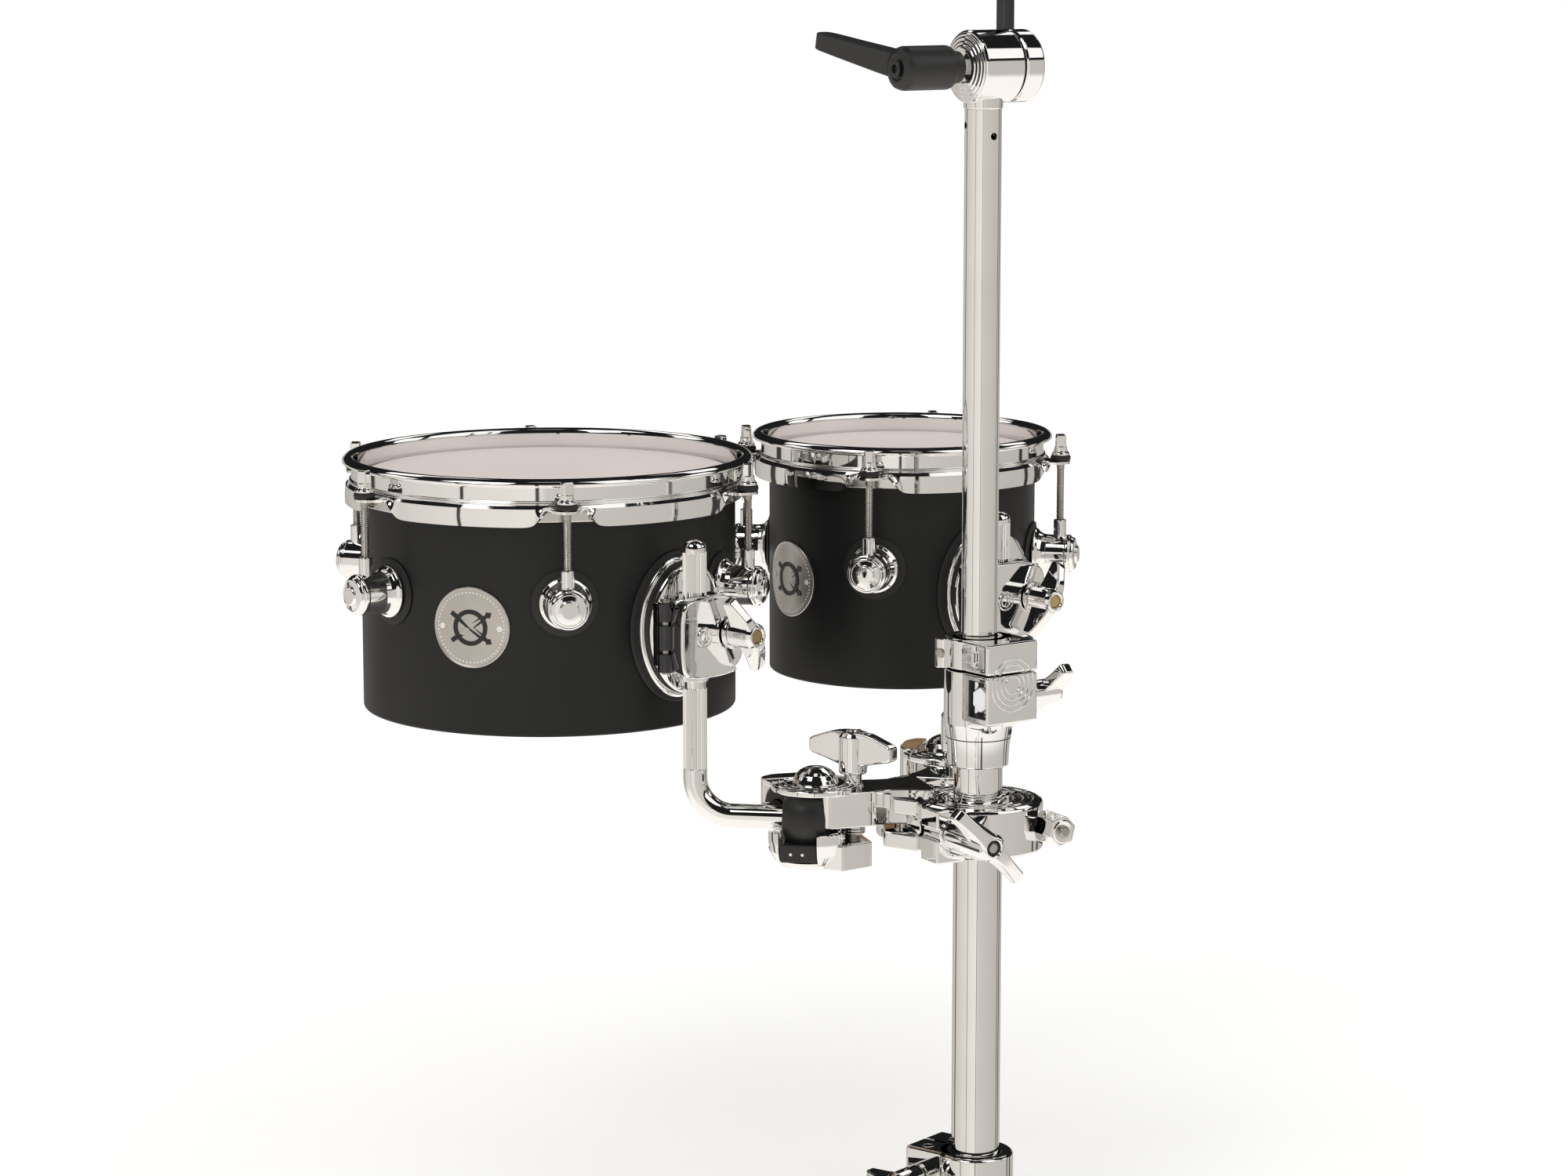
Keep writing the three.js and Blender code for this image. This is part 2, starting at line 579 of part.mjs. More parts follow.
function makeBaseClamp(parent) {
  const { low, high, radius, reach, halfWidth, turn } = BASE_CLAMP;
  const group = new THREE.Group();
  group.rotation.z = radians(turn);
  parent.add(group);
  const bore = solidOf(disc(TUBE.outer + 0.3, 0, 50, 32));
  const height = (low + high) / 2;
  const bolt = 26;
  const boltHole = solidOf(placed(disc(3.4, -30, 30, 12), [0, -bolt, height], [0, 0, 1], [1, 0, 0]));
  const collar = joined(solidOf(disc(radius, low, high, 32)), clampBox(halfWidth, reach, low, high));
  mesh("base_clamp", cut(collar, bore, boltHole), chrome, group);
  const wing = wingGeometry({
    foot: halfWidth + GAP, hub: 32, hubRadius: 6.5, low: 25, high: 38, span: 44, thick: 5.5,
  }).add(solidOf(disc(3, -14, 20, 12)));
  const made = mesh("base_clamp_wing", wing, chrome, group);
  made.position.set(0, -bolt, height);
  made.quaternion.setFromUnitVectors(new THREE.Vector3(0, 0, 1), new THREE.Vector3(1, 0, 0));
  made.rotateZ(radians(90));
}

// The boom tilter. Its own axes are +Y along the screw, towards the boom's cap, and +Z up.
function makeTilter(parent) {
  const { height, radius, bearing, face, capStart, capEnd } = TILTER;
  const group = new THREE.Group();
  group.position.z = height;
  group.rotation.z = radians(bearing);
  parent.add(group);
  const level = (geometry) => placed(geometry, [0, 0, 0], [1, 0, 0], [0, 1, 0]);

  const drumBody = solidOf(level(turned([
    [0, -face], [radius - 2.5, -face], [radius - 2.5, -face + 1.5], [radius, -face + 2], [radius, face], [0, face],
  ], 32)));
  const neck = solidOf(disc(10.6, INNER_TUBE.top - height + 0.3, 0, 32));
  const screwHole = solidOf(level(disc(4.3, -30, 40)));
  mesh("tilter_body", cut(joined(drumBody, neck), screwHole), chrome, group);

  const boomHole = solidOf(disc(BOOM.radius + 0.3, -40, 40, 16).translate(-BOOM.behind, BOOM.along, 0));
  const capDrum = solidOf(level(turned([
    [0, capStart], [radius, capStart], [radius, capEnd - 1.5], [radius - 1.5, capEnd], [0, capEnd],
  ], 32)));
  mesh("tilter_cap", cut(capDrum, screwHole, boomHole), chrome, group);

  const bolt = joined(
    solidOf(level(disc(3.9, -22, capEnd + 1))),
    solidOf(level(disc(7, capEnd + GAP, capEnd + 3, 6))),
  );
  mesh("tilter_bolt", bolt, steel, group);

  const boomLength = BOOM.top - height;
  const boom = mesh("boom_rod", solidOf(turned([
    [0, BOOM.foot - height], [BOOM.radius, BOOM.foot - height], [BOOM.radius, boomLength - 2],
    [BOOM.radius - 2, boomLength], [0, boomLength],
  ], 16)), chrome, group);
  boom.position.set(-BOOM.behind, BOOM.along, 0);

  const hub = turned([
    [0, 15.5], [8.3, 15.5], [8.3, 21], [10.7, 22.5], [10.7, 50], [8.5, 53], [6, 53], [6, 55], [0, 55],
  ], 20);
  const screwSocket = disc(4.3, 14, 23);
  const arm = slab(outline([
    [0, 37], [0, 50], [58, 63.5], [62, 61], [62, 54], [58, 51.5],
  ]), -5.5, 5.5).rotateX(Math.PI / 2);
  const lever = mesh("tilter_lever", joined(solidOf(hub), solidOf(arm)).subtract(solidOf(screwSocket)),
    plastic, group);
  lever.quaternion.setFromUnitVectors(new THREE.Vector3(0, 0, 1), new THREE.Vector3(0, -1, 0));
  lever.rotateZ(radians(180 - 12));
}

// ---------------------------------------------------------------- assembly
const timbales = new THREE.Group();
makeTubes(timbales);
makeBaseClamp(timbales);
makeHeightClamp(timbales);
makeTilter(timbales);
makePoleClamp(timbales);
for (const [drum, turn] of [[LARGE, -36], [SMALL, 84]]) {
  makeDrum(drum, timbales);
  makeLRod(drum, timbales);
  makeBall(drum, timbales);
  makeArmJaw(drum, timbales);
  makeArmWing(drum, turn, timbales);
}
export default timbales;
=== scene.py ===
"""Looks for a pair of timbales on the column of a boom stand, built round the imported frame.

Shapes are written in millimetres in the frame of the CAD model and turned into metres when a
piece is finished. Bearings are measured from the player's side (-Y) towards +X.
"""

import contextlib
import math

import bmesh
import bpy
from mathutils import Matrix, Vector


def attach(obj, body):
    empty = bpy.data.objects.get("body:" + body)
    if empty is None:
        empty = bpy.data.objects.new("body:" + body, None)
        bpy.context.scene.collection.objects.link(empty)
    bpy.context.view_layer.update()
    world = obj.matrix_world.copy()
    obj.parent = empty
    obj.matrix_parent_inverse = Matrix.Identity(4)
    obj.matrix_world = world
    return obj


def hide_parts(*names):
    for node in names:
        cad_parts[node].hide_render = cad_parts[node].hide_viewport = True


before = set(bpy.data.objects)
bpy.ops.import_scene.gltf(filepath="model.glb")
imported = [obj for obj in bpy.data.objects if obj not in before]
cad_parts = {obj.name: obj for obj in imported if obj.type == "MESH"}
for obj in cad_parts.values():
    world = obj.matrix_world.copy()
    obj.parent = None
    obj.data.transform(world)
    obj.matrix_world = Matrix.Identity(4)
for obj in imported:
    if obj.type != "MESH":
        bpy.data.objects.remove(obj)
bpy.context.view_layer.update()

# ------------------------------------------------------------------ dimensions, in millimetres
LARGE = dict(
    name="large", radius=101.6, centre=(-229.2, 116.3), foot=258, lugs=[8 + 60 * i for i in range(6)],
    lug_height=71.3, badge=-20.5, mount=44.5, wing_turn=-61, rod_top=362.3, ball=(-88, 9),
)
SMALL = dict(
    name="small", radius=76.2, centre=(-33.3, 245.5), foot=254, lugs=[-13 + 90 * i for i in range(4)],
    lug_height=68.8, badge=-57.6, mount=36, wing_turn=61, rod_top=356.9, ball=(-4, 96),
)
SHELL_HEIGHT = 126.5
EAR = 121.6
RIM = 137.5
ROD_OFFSET = 15.8
BADGE_HEIGHT = 57.5
MOUNT_HEIGHT = 54.5
ROD_OUT, ROD_SIDE, BOLT_SIDE = 24.9, -10.1, 6.5
ROD_RADIUS = 6.35
BALL_HEIGHT = 216
HUB = (-19, 29)
CLAMP_LOW, CLAMP_HIGH, CLAMP_RADIUS, CLAMP_TURN, STUDS = 203, 229.5, 34, 30, 26
ARM_BOLT = 24
TUBE, INNER_TUBE = 12.7, 9.5
HEIGHT_TURN, BASE_TURN, TILT_TURN, TILT_HEIGHT = 36, 232, -57.3, 607.5
HEIGHT_BOLT, BASE_BOLT = (0, -19.5, 285.5), (0, -26, 23.5)
BARREL_RADIUS, BARREL_ENDS = 17.5, (-12.6, 10.5)
ARM_WINDOW = (-13.5, 7.4)  # the gap that shows the barrel, along the L-rod
LID_LOW, LID_TOP = 230.8, 234.0
LID_SHIFT = {"large": (3.4, 3.4, 0), "small": (-9, 0, 0)}
SMALL_WALL_SHIFT = 11
JAW_FOOT, JAW_FLOOR, JAW_SLOT = 190.8, 195.6, 200.6
TINY = 1e-4  # distance at which points count as one

# ------------------------------------------------------------------ studio, in metres and degrees
CAMERA_PLACE, CAMERA_DIP, LENS = (-0.1011, -2.1058, 0.6877), 9.38, 94.8
FLOOR_SIZE = 160
KEY_PLACE, KEY_TARGET, KEY_SIDE, KEY_POWER = (-2.0, -2.2, 3.6), (-0.1, 0.1, 0.3), 1.4, 14
WHITE, LOW_SWEEP, ROOF = (1.12, 1.115, 1.10), (1.12, 1.08, 1.03), (0.012, 0.012, 0.013)
# share of a turn and level
SWEEP = ((0.12, 0.60), (0.3, 0.78), (0.492, 0.93), (0.507, 0.68), (0.75, 0.58), (0.9, 0.50))
# azimuth, width and soft edge
GAPS = ((-3, 0.7, 0.8), (111, 1.6, 1.5), (127, 2.5, 2), (-122, 2.5, 3), (-48, 0.7, 0.8))
SOFT_BOXES = (  # azimuth, half width, elevation, half height, level
    (-48, 22, 52, 9, 2.3), (62, 24, 46, 24, 1.15), (5, 40, 82, 2.2, 0.9), (-100, 12, 30, 7, 1.3),
    (104, 10, 26, 7, 1.3), (150, 16, 40, 5, 1.2), (-150, 16, 44, 5, 1.4),
)


# ------------------------------------------------------------------ materials
def new_material(name):
    """An empty node material with one Principled shader. Returns it, its nodes, its links and the shader."""
    material = bpy.data.materials.new(name)
    material.use_nodes = True
    tree = material.node_tree
    shader = tree.nodes["Principled BSDF"]
    return material, tree.nodes, tree.links, shader


def noise(nodes, links, scale, detail=4.0, stretch=(1, 1, 1)):
    """Noise in object space, in metres."""
    coordinates = nodes.new("ShaderNodeTexCoord")
    mapping = nodes.new("ShaderNodeMapping")
    mapping.inputs["Scale"].default_value = stretch
    texture = nodes.new("ShaderNodeTexNoise")
    texture.inputs["Scale"].default_value = scale
    texture.inputs["Detail"].default_value = detail
    links.new(coordinates.outputs["Object"], mapping.inputs["Vector"])
    links.new(mapping.outputs["Vector"], texture.inputs["Vector"])
    return texture.outputs["Fac"]


def ramp(nodes, links, source, low, high, start=0.3, end=0.7):
    """Maps noise onto a range of numbers or of colours."""
    node = nodes.new("ShaderNodeValToRGB")
    stops = node.color_ramp.elements
    colour = lambda c: (*c, 1) if isinstance(c, tuple) else (c, c, c, 1)
    stops[0].position, stops[1].position = start, end
    stops[0].color, stops[1].color = colour(low), colour(high)
    links.new(source, node.inputs["Fac"])
    return node.outputs["Color"]


def bump(nodes, links, shader, height, strength, distance=0.001):
    """Lets a height field tilt the shading normal."""
    node = nodes.new("ShaderNodeBump")
    node.inputs["Strength"].default_value = strength
    node.inputs["Distance"].default_value = distance
    links.new(height, node.inputs["Height"])
    links.new(node.outputs["Normal"], shader.inputs["Normal"])


def metal(name, light, dark, rough, waviness=0.0):
    """Polished or plated metal: its tint and its roughness drift, and castings are slightly wavy."""
    material, nodes, links, shader = new_material(name)
    shader.inputs["Metallic"].default_value = 1.0
    broad = noise(nodes, links, 35.0, 3.0)
    links.new(ramp(nodes, links, broad, dark, light), shader.inputs["Base Color"])
    fine = noise(nodes, links, 420.0, 5.0)
    links.new(ramp(nodes, links, fine, rough[0], rough[1]), shader.inputs["Roughness"])
    if waviness:
        bump(nodes, links, shader, noise(nodes, links, 40.0, 2.0), waviness)
    return material


def paint(name, light, dark, rough, scale, strength, specular=0.5):
    """A dull surface with a fine texture: lacquer, rubber, moulded plastic or film."""
    material, nodes, links, shader = new_material(name)
    shader.inputs["Specular IOR Level"].default_value = specular
    broad = noise(nodes, links, 12.0, 3.0)
    links.new(ramp(nodes, links, broad, dark, light), shader.inputs["Base Color"])
    grain = noise(nodes, links, scale, 6.0)
    links.new(ramp(nodes, links, grain, rough[0], rough[1]), shader.inputs["Roughness"])
    bump(nodes, links, shader, grain, strength, 0.0002)
    return material


def wood(name):
    """The bare wood inside a shell, its grain running round the drum."""
    material, nodes, links, shader = new_material(name)
    grain = noise(nodes, links, 30.0, 8.0, (1, 1, 14))
    links.new(ramp(nodes, links, grain, (0.42, 0.27, 0.15), (0.62, 0.45, 0.28)), shader.inputs["Base Color"])
    links.new(ramp(nodes, links, grain, 0.5, 0.65), shader.inputs["Roughness"])
    bump(nodes, links, shader, grain, 0.2, 0.0003)
    return material


CHROME = metal("chrome", (0.88, 0.875, 0.865), (0.84, 0.835, 0.825), (0.02, 0.05))
CAST = metal("cast_chrome", (0.88, 0.875, 0.865), (0.83, 0.825, 0.815), (0.02, 0.06), 0.012)
STEEL = metal("zinc_steel", (0.55, 0.53, 0.49), (0.38, 0.36, 0.33), (0.28, 0.42))
KNURL = metal("fluted_chrome", (0.83, 0.81, 0.79), (0.74, 0.72, 0.70), (0.12, 0.2))
NICKEL = metal("satin_nickel", (0.60, 0.58, 0.55), (0.52, 0.50, 0.47), (0.30, 0.40))
BRASS = metal("brass_thread", (0.62, 0.47, 0.24), (0.48, 0.35, 0.16), (0.25, 0.4))
SHELL = paint(
    "satin_black_lacquer", (0.0105, 0.0105, 0.0105), (0.008, 0.008, 0.008), (0.40, 0.48), 900, 0.12,
    specular=0.3,
)
RUBBER = paint("black_rubber", (0.012, 0.012, 0.012), (0.007, 0.007, 0.007), (0.5, 0.65), 1500, 0.25)
NYLON = paint("black_nylon", (0.014, 0.014, 0.014), (0.009, 0.009, 0.009), (0.4, 0.5), 1800, 0.15)
POWDER = paint("black_powder_coat", (0.016, 0.016, 0.016), (0.011, 0.011, 0.011), (0.34, 0.44), 2200, 0.3)
FILM = paint("drumhead_film", (0.68, 0.61, 0.59), (0.65, 0.58, 0.56), (0.5, 0.6), 1100, 0.15)
ENAMEL = paint("black_enamel", (0.01, 0.01, 0.01), (0.008, 0.008, 0.008), (0.2, 0.3), 800, 0.05)
CREAM = paint("pale_inlay", (0.75, 0.73, 0.7), (0.7, 0.68, 0.65), (0.4, 0.5), 800, 0.05)
# chrome with a painted dark reflection: the reflection of the dark surroundings, mostly the black shell, is
# painted into its colour; used for the bracket's knuckles and web and for the boom tube
PAINTED_REFLECTION_CHROME = metal("chrome_painted_dark_reflection", (0.075, 0.075, 0.078), (0.055, 0.055, 0.058), (0.05, 0.1))
ALUMINIUM = metal("bright_aluminium", (0.72, 0.70, 0.67), (0.64, 0.62, 0.59), (0.16, 0.24))
BARE_WOOD = wood("bare_wood")
# painted shade: near-black paint that stands for the shade in holes, slits, grooves, a pocket's walls and
# between teeth
PAINTED_SHADE = paint("shadowed_recess", (0.02, 0.02, 0.02), (0.012, 0.012, 0.012), (0.5, 0.6), 900, 0.1)


# ------------------------------------------------------------------ mesh tools, in millimetres
def make(name, verts, faces):
    """A new object from points and faces."""
    mesh = bpy.data.meshes.new(name)
    mesh.from_pydata([tuple(v) for v in verts], [], faces)
    mesh.validate()
    obj = bpy.data.objects.new(name, mesh)
    bpy.context.scene.collection.objects.link(obj)
    return obj


@contextlib.contextmanager
def editing(obj):
    """The object's mesh as a bmesh, written back at the end."""
    work = bmesh.new()
    work.from_mesh(obj.data)
    yield work
    work.to_mesh(obj.data)
    work.free()


def outward_faces(obj):
    """Turns every face outwards."""
    with editing(obj) as work:
        bmesh.ops.recalc_face_normals(work, faces=work.faces)
    return obj


def circle(radius, sides, turn=0.0):
    """The corners of a regular polygon round the origin, the first one at a turn in degrees."""
    angles = [math.radians(turn) + 2 * math.pi * k / sides for k in range(sides)]
    return [(radius * math.cos(a), radius * math.sin(a)) for a in angles]


def strips(rows, sides, closed=False):
    """The faces between neighbouring rows, each of which is a ring of points."""
    faces = []
    for i in range(rows if closed else rows - 1):
        for k in range(sides):
            j, m = (i + 1) % rows, (k + 1) % sides
            faces.append((i * sides + k, i * sides + m, j * sides + m, j * sides + k))
    return faces


def drop(obj):
    """Removes an object and its mesh."""
    mesh = obj.data
    bpy.data.objects.remove(obj)
    bpy.data.meshes.remove(mesh)


def apply(obj):
    """Bakes the modifiers into the mesh."""
    evaluated = obj.evaluated_get(bpy.context.evaluated_depsgraph_get())
    mesh = bpy.data.meshes.new_from_object(evaluated)
    old = obj.data
    obj.modifiers.clear()
    obj.data = mesh
    bpy.data.meshes.remove(old)
    return obj


def bevel(obj, width, segments=3, angle=35):
    """Rounds the edges that are sharper than an angle in degrees."""
    modifier = obj.modifiers.new("bevel", "BEVEL")
    modifier.width, modifier.segments = width, segments
    modifier.limit_method, modifier.angle_limit = "ANGLE", math.radians(angle)
    modifier.miter_outer = "MITER_ARC"
    return apply(obj)


def boolean(obj, other, operation="DIFFERENCE"):
    """Cuts one object with another, and drops the other."""
    modifier = obj.modifiers.new("boolean", "BOOLEAN")
    modifier.operation, modifier.object, modifier.solver = operation, other, "EXACT"
    apply(obj)
    drop(other)
    return obj


def moved(obj, matrix):
    """Moves an object's points."""
    obj.data.transform(matrix)
    return obj


def merged(name, objs):
    """One object out of several, keeping each one's material."""
    materials = []
    work = bmesh.new()
    for obj in objs:
        first = len(work.faces)
        work.from_mesh(obj.data)
        work.faces.ensure_lookup_table()
        for face in work.faces[first:]:
            slot = obj.data.materials[face.material_index] if obj.data.materials else None
            if slot not in materials:
                materials.append(slot)
            face.material_index = materials.index(slot)
    mesh = bpy.data.meshes.new(name)
    work.to_mesh(mesh)
    work.free()
    for material in materials:
        mesh.materials.append(material)
    for obj in list(objs):
        drop(obj)
    result = bpy.data.objects.new(name, mesh)
    bpy.context.scene.collection.objects.link(result)
    return result


def painted(obj, material):
    """Gives an object its only material."""
    obj.data.materials.clear()
    obj.data.materials.append(material)
    return obj


def done(obj, material, body, node=None, sharp=38):
    """Finishes a piece: metres, shading, material, the body it rides on and the CAD node it replaces."""
    obj.data.transform(Matrix.Scale(0.001, 4))
    for polygon in obj.data.polygons:
        polygon.use_smooth = True
    obj.data.set_sharp_from_angle(angle=math.radians(sharp))
    weighted = obj.modifiers.new("weighted", "WEIGHTED_NORMAL")
    weighted.keep_sharp = True
    weighted.weight = 70
    if material and not obj.data.materials:
        obj.data.materials.append(material)
    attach(obj, body)
    if node:
        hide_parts(node)
    return obj


def rounded(points, radius, steps=3, closed=False):
    """Rounds the corners of a line of 2-D points."""
    count = len(points)
    result = []
    for i, point in enumerate(points):
        if not closed and i in (0, count - 1):
            result.append(point)
            continue
        corner = Vector(point)
        before, after = Vector(points[i - 1]) - corner, Vector(points[(i + 1) % count]) - corner
        reach = min(radius, before.length * 0.45, after.length * 0.45)
        if reach < 0.02 or before.angle(after) > 3.0:
            result.append(point)
            continue
        start, end = corner + before.normalized() * reach, corner + after.normalized() * reach
        for k in range(steps + 1):
            t = k / steps
            p = start * (1 - t) ** 2 + corner * (2 * t * (1 - t)) + end * t**2
            result.append((p.x, p.y))
    return result


def lathe(name, profile, sides=64, soft=0.4, closed=False, steps=3):
    """A profile of (radius, height) turned round +Z. A closed profile is a ring."""
    points = rounded(profile, soft, steps, closed) if soft else list(profile)
    verts = [(x, y, z) for r, z in points for x, y in circle(r, sides)]
    obj = make(name, verts, strips(len(points), sides, closed))
    with editing(obj) as work:
        bmesh.ops.remove_doubles(work, verts=work.verts, dist=TINY)
        bmesh.ops.dissolve_degenerate(work, edges=work.edges, dist=TINY)
        holes = [e for e in work.edges if e.is_boundary]
        if holes and not closed:
            bmesh.ops.holes_fill(work, edges=holes, sides=0)
        bmesh.ops.recalc_face_normals(work, faces=work.faces)
    return obj


def cylinder(name, radius, low, high, sides, soft):
    """A plain cylinder about +Z."""
    return lathe(name, [(0, low), (radius, low), (radius, high), (0, high)], sides, soft)


def tube(name, inner, outer, low, high, sides, soft):
    """A plain ring about +Z."""
    return lathe(name, [(inner, low), (outer, low), (outer, high), (inner, high)], sides, soft, True)


def raised_rings(name, radii, half, low, high, sides, soft):
    """Rings in relief about +Z, narrower at the top."""
    rings = []
    for r in radii:
        profile = [(r - half, low), (r + half, low), (r + half - 0.25, high), (r - half + 0.25, high)]
        rings.append(lathe("ring", profile, sides, soft, True))
    return merged(name, rings)


def slab(name, verts):
    """A closed body from two rows of the same number of points, one under the other."""
    n = len(verts) // 2
    faces = [tuple(range(n)), tuple(range(n, 2 * n))] + strips(2, n)
    return outward_faces(make(name, verts, faces))


def prism(name, outline, low, high, edge=0.6, segments=3, corner=0.0):
    """An outline in X and Y raised from low to high, with rounded edges."""
    points = rounded(outline, corner, 5, True) if corner else outline
    verts = [(x, y, z) for z in (low, high) for x, y in points]
    obj = slab(name, verts)
    return bevel(obj, edge, segments) if edge else obj


def brick(name, x, y, z, edge=1.0, segments=4):
    """A box between the two values given on each axis."""
    outline = [(x[0], y[0]), (x[1], y[0]), (x[1], y[1]), (x[0], y[1])]
    return prism(name, outline, z[0], z[1], edge, segments)


def axes(origin, x_axis, z_axis):
    """A matrix that puts a shape's own X and Z along the two directions, at an origin."""
    x, z = Vector(x_axis).normalized(), Vector(z_axis).normalized()
    y = z.cross(x).normalized()
    x = y.cross(z)
    matrix = Matrix((x, y, z)).transposed().to_4x4()
    matrix.translation = origin
    return matrix


def facing_front(origin=(0, 0, 0)):
    """Puts a shape's own +Z towards -Y."""
    return axes(origin, (1, 0, 0), (0, -1, 0))


def outward(bearing):
    """The level direction out of a drum at a bearing."""
    a = math.radians(bearing)
    return Vector((math.sin(a), -math.cos(a), 0))


def sideways(bearing):
    """The level direction round a drum at a bearing."""
    a = math.radians(bearing)
    return Vector((math.cos(a), math.sin(a), 0))


def at(centre, bearing, out, side, z):
    """A point out from a centre and to the side, at a height."""
    p = Vector((*centre, z)) + outward(bearing) * out + sideways(bearing) * side
    return Vector((p.x, p.y, z))


def shift(x, y, z=0):
    return Matrix.Translation((x, y, z))


def turn_z(angle, origin=(0, 0, 0)):
    """A turn about +Z, then a move to an origin."""
    return Matrix.Translation(origin) @ Matrix.Rotation(math.radians(angle), 4, "Z")


def wing(name, hub_radius, foot, hub, low, high, span, thick, bore=3.6, drop=5.5, tip=8.0, lining=None):
    """A wing nut about +Z: a hub with a threaded end and two blunt wings along X, lower at their tips."""
    half = span / 2
    right = [
        (0, low), (hub_radius * 0.95, low), (half * 0.6, low + (high - drop - tip - low) * 0.55),
        (half - 1.5, high - drop - tip),
        (half, high - drop - tip + 1.5), (half, high - drop - 1), (half - 1.8, high - drop + 0.4),
        (half * 0.5, high - drop * 0.2), (hub_radius * 0.8, high), (0, high),
    ]
    outline = right + [(-x, z) for x, z in reversed(right[1:-1])]
    plate = prism(f"{name}_plate", outline, -thick / 2, thick / 2, 0, corner=2.6)
    for v in plate.data.vertices:  # wings are thinnest halfway out and thicken to blunt ends
        t = abs(v.co.x) / half
        v.co.z *= 1.4 - 1.5 * t + 1.15 * t * t
    bevel(plate, 1.2, 4, 30)
    moved(plate, Matrix.Rotation(math.radians(90), 4, "X"))
    reach = bore + 0.9
    boolean(plate, cylinder("bore", reach, hub - 10, high + 5, 40, 0))
    core = lathe(
        f"{name}_core",
        [(bore, foot), (hub_radius - 0.6, foot), (hub_radius, foot + 1), (hub_radius, hub - 2.2),
         (hub_radius - 1.6, hub), (bore + 0.7, hub), (bore, hub - 0.8), (bore, hub - 9), (0, hub - 9)],
        48, 0.5,
    )
    thread = painted(
        lathe(f"{name}_thread", [
            (bore - (0.05 if i % 2 else 0.6), hub - 1 - 0.6 * i) for i in range(13)
        ] + [(0, hub - 8.5)], 28, 0),
        lining or BRASS,
    )
    return merged(name, [painted(plate, CAST), painted(core, CAST), thread])


# ------------------------------------------------------------------ stage, light and camera
def set_stage():
    """A pale floor that gloss doesn't see."""
    h = FLOOR_SIZE / 2
    floor = make("floor", [(-h, -h, 0), (h, -h, 0), (h, h, 0), (-h, h, 0)], [(0, 1, 2, 3)])
    material, nodes, links, shader = new_material("pale_floor")
    patches = noise(nodes, links, 3.0)
    links.new(
        ramp(nodes, links, patches, (0.93, 0.93, 0.925), (0.95, 0.95, 0.945)), shader.inputs["Base Color"],
    )
    shader.inputs["Roughness"].default_value = 0.9
    shader.inputs["Specular IOR Level"].default_value = 0.0
    floor.data.materials.append(material)
    floor.visible_glossy = False


def set_world():
    """Soft white light for the surfaces. Gloss sees a warm white sweep with a dark studio above it."""
    world = bpy.data.worlds.new("studio")
    bpy.context.scene.world = world
    world.use_nodes = True
    nodes, links = world.node_tree.nodes, world.node_tree.links
    background = nodes["Background"]
    coordinates = nodes.new("ShaderNodeTexCoord")
    split = nodes.new("ShaderNodeSeparateXYZ")
    links.new(coordinates.outputs["Generated"], split.inputs["Vector"])

    def maths(operation, a, b=0.0):
        node = nodes.new("ShaderNodeMath")
        node.operation = operation
        for socket, value in zip(node.inputs, (a, b)):
            if isinstance(value, (int, float)):
                socket.default_value = value
            else:
                links.new(value, socket)
        return node.outputs[0]

    def between(value, start, end, low=0.0, high=1.0):
        node = nodes.new("ShaderNodeMapRange")
        node.interpolation_type = "SMOOTHSTEP"
        for key, number in zip(("From Min", "From Max", "To Min", "To Max"), (start, end, low, high)):
            node.inputs[key].default_value = number
        links.new(value, node.inputs["Value"])
        return node.outputs["Result"]

    def around(value, centre, width, soft):
        return between(maths("ABSOLUTE", maths("SUBTRACT", value, centre)), width + soft, width)

    def mixed(factor, first, second):
        node = nodes.new("ShaderNodeMix")
        node.data_type = "RGBA"
        for socket, value in (
            (node.inputs["Factor"], factor), (node.inputs[6], first), (node.inputs[7], second),
        ):
            if isinstance(value, tuple):
                socket.default_value = (*value, 1)
            else:
                links.new(value, socket)
        return node.outputs[2]

    degrees = 180 / math.pi
    azimuth = maths(
        "MULTIPLY", maths("ARCTAN2", split.outputs["X"], maths("MULTIPLY", split.outputs["Y"], -1.0)),
        degrees,
    )
    elevation = maths("MULTIPLY", maths("ARCSINE", split.outputs["Z"]), degrees)
    sweep = ramp(nodes, links, maths("ADD", maths("MULTIPLY", azimuth, 1 / 360), 0.5), 0.38, 0.40, 0.0, 1.0)
    stops = sweep.node.color_ramp.elements
    for position, level in SWEEP:
        stops.new(position).color = (level, level, level, 1)
    for stop in stops:
        level = stop.color[0]
        stop.color = (level, level * 0.955, level * 0.895, 1)
    below = between(elevation, -16, -30)
    colour = mixed(below, sweep, LOW_SWEEP)
    gaps = around(azimuth, *GAPS[0])
    for centre, width, soft in GAPS[1:]:
        gaps = maths("MAXIMUM", gaps, around(azimuth, centre, width, soft))
    gaps = maths("MULTIPLY", gaps, between(elevation, -34, -26))
    facing = maths("ABSOLUTE", azimuth)
    edge = between(facing, 80, 140, 13.0, 1.5)
    roof = between(maths("SUBTRACT", elevation, edge), 0.0, 3.5)
    dark = maths("MAXIMUM", maths("MULTIPLY", gaps, 0.93), roof)
    colour = mixed(dark, colour, ROOF)
    for across, half, height, rise, level in SOFT_BOXES:
        here = maths("MULTIPLY", around(azimuth, across, half, 2.5), around(elevation, height, rise, 1.5))
        colour = mixed(here, colour, (level, level * 0.985, level * 0.96))
    path = nodes.new("ShaderNodeLightPath")
    colour = mixed(path.outputs["Is Glossy Ray"], WHITE, colour)
    links.new(colour, background.inputs["Color"])
    background.inputs["Strength"].default_value = 1.0


def set_key_light():
    """One soft light from the upper left."""
    data = bpy.data.lights.new("key", "AREA")
    data.shape, data.size, data.energy = "SQUARE", KEY_SIDE, KEY_POWER
    light = bpy.data.objects.new("key", data)
    bpy.context.scene.collection.objects.link(light)
    light.location = KEY_PLACE
    light.rotation_euler = (Vector(KEY_TARGET) - Vector(KEY_PLACE)).to_track_quat("-Z", "Y").to_euler()


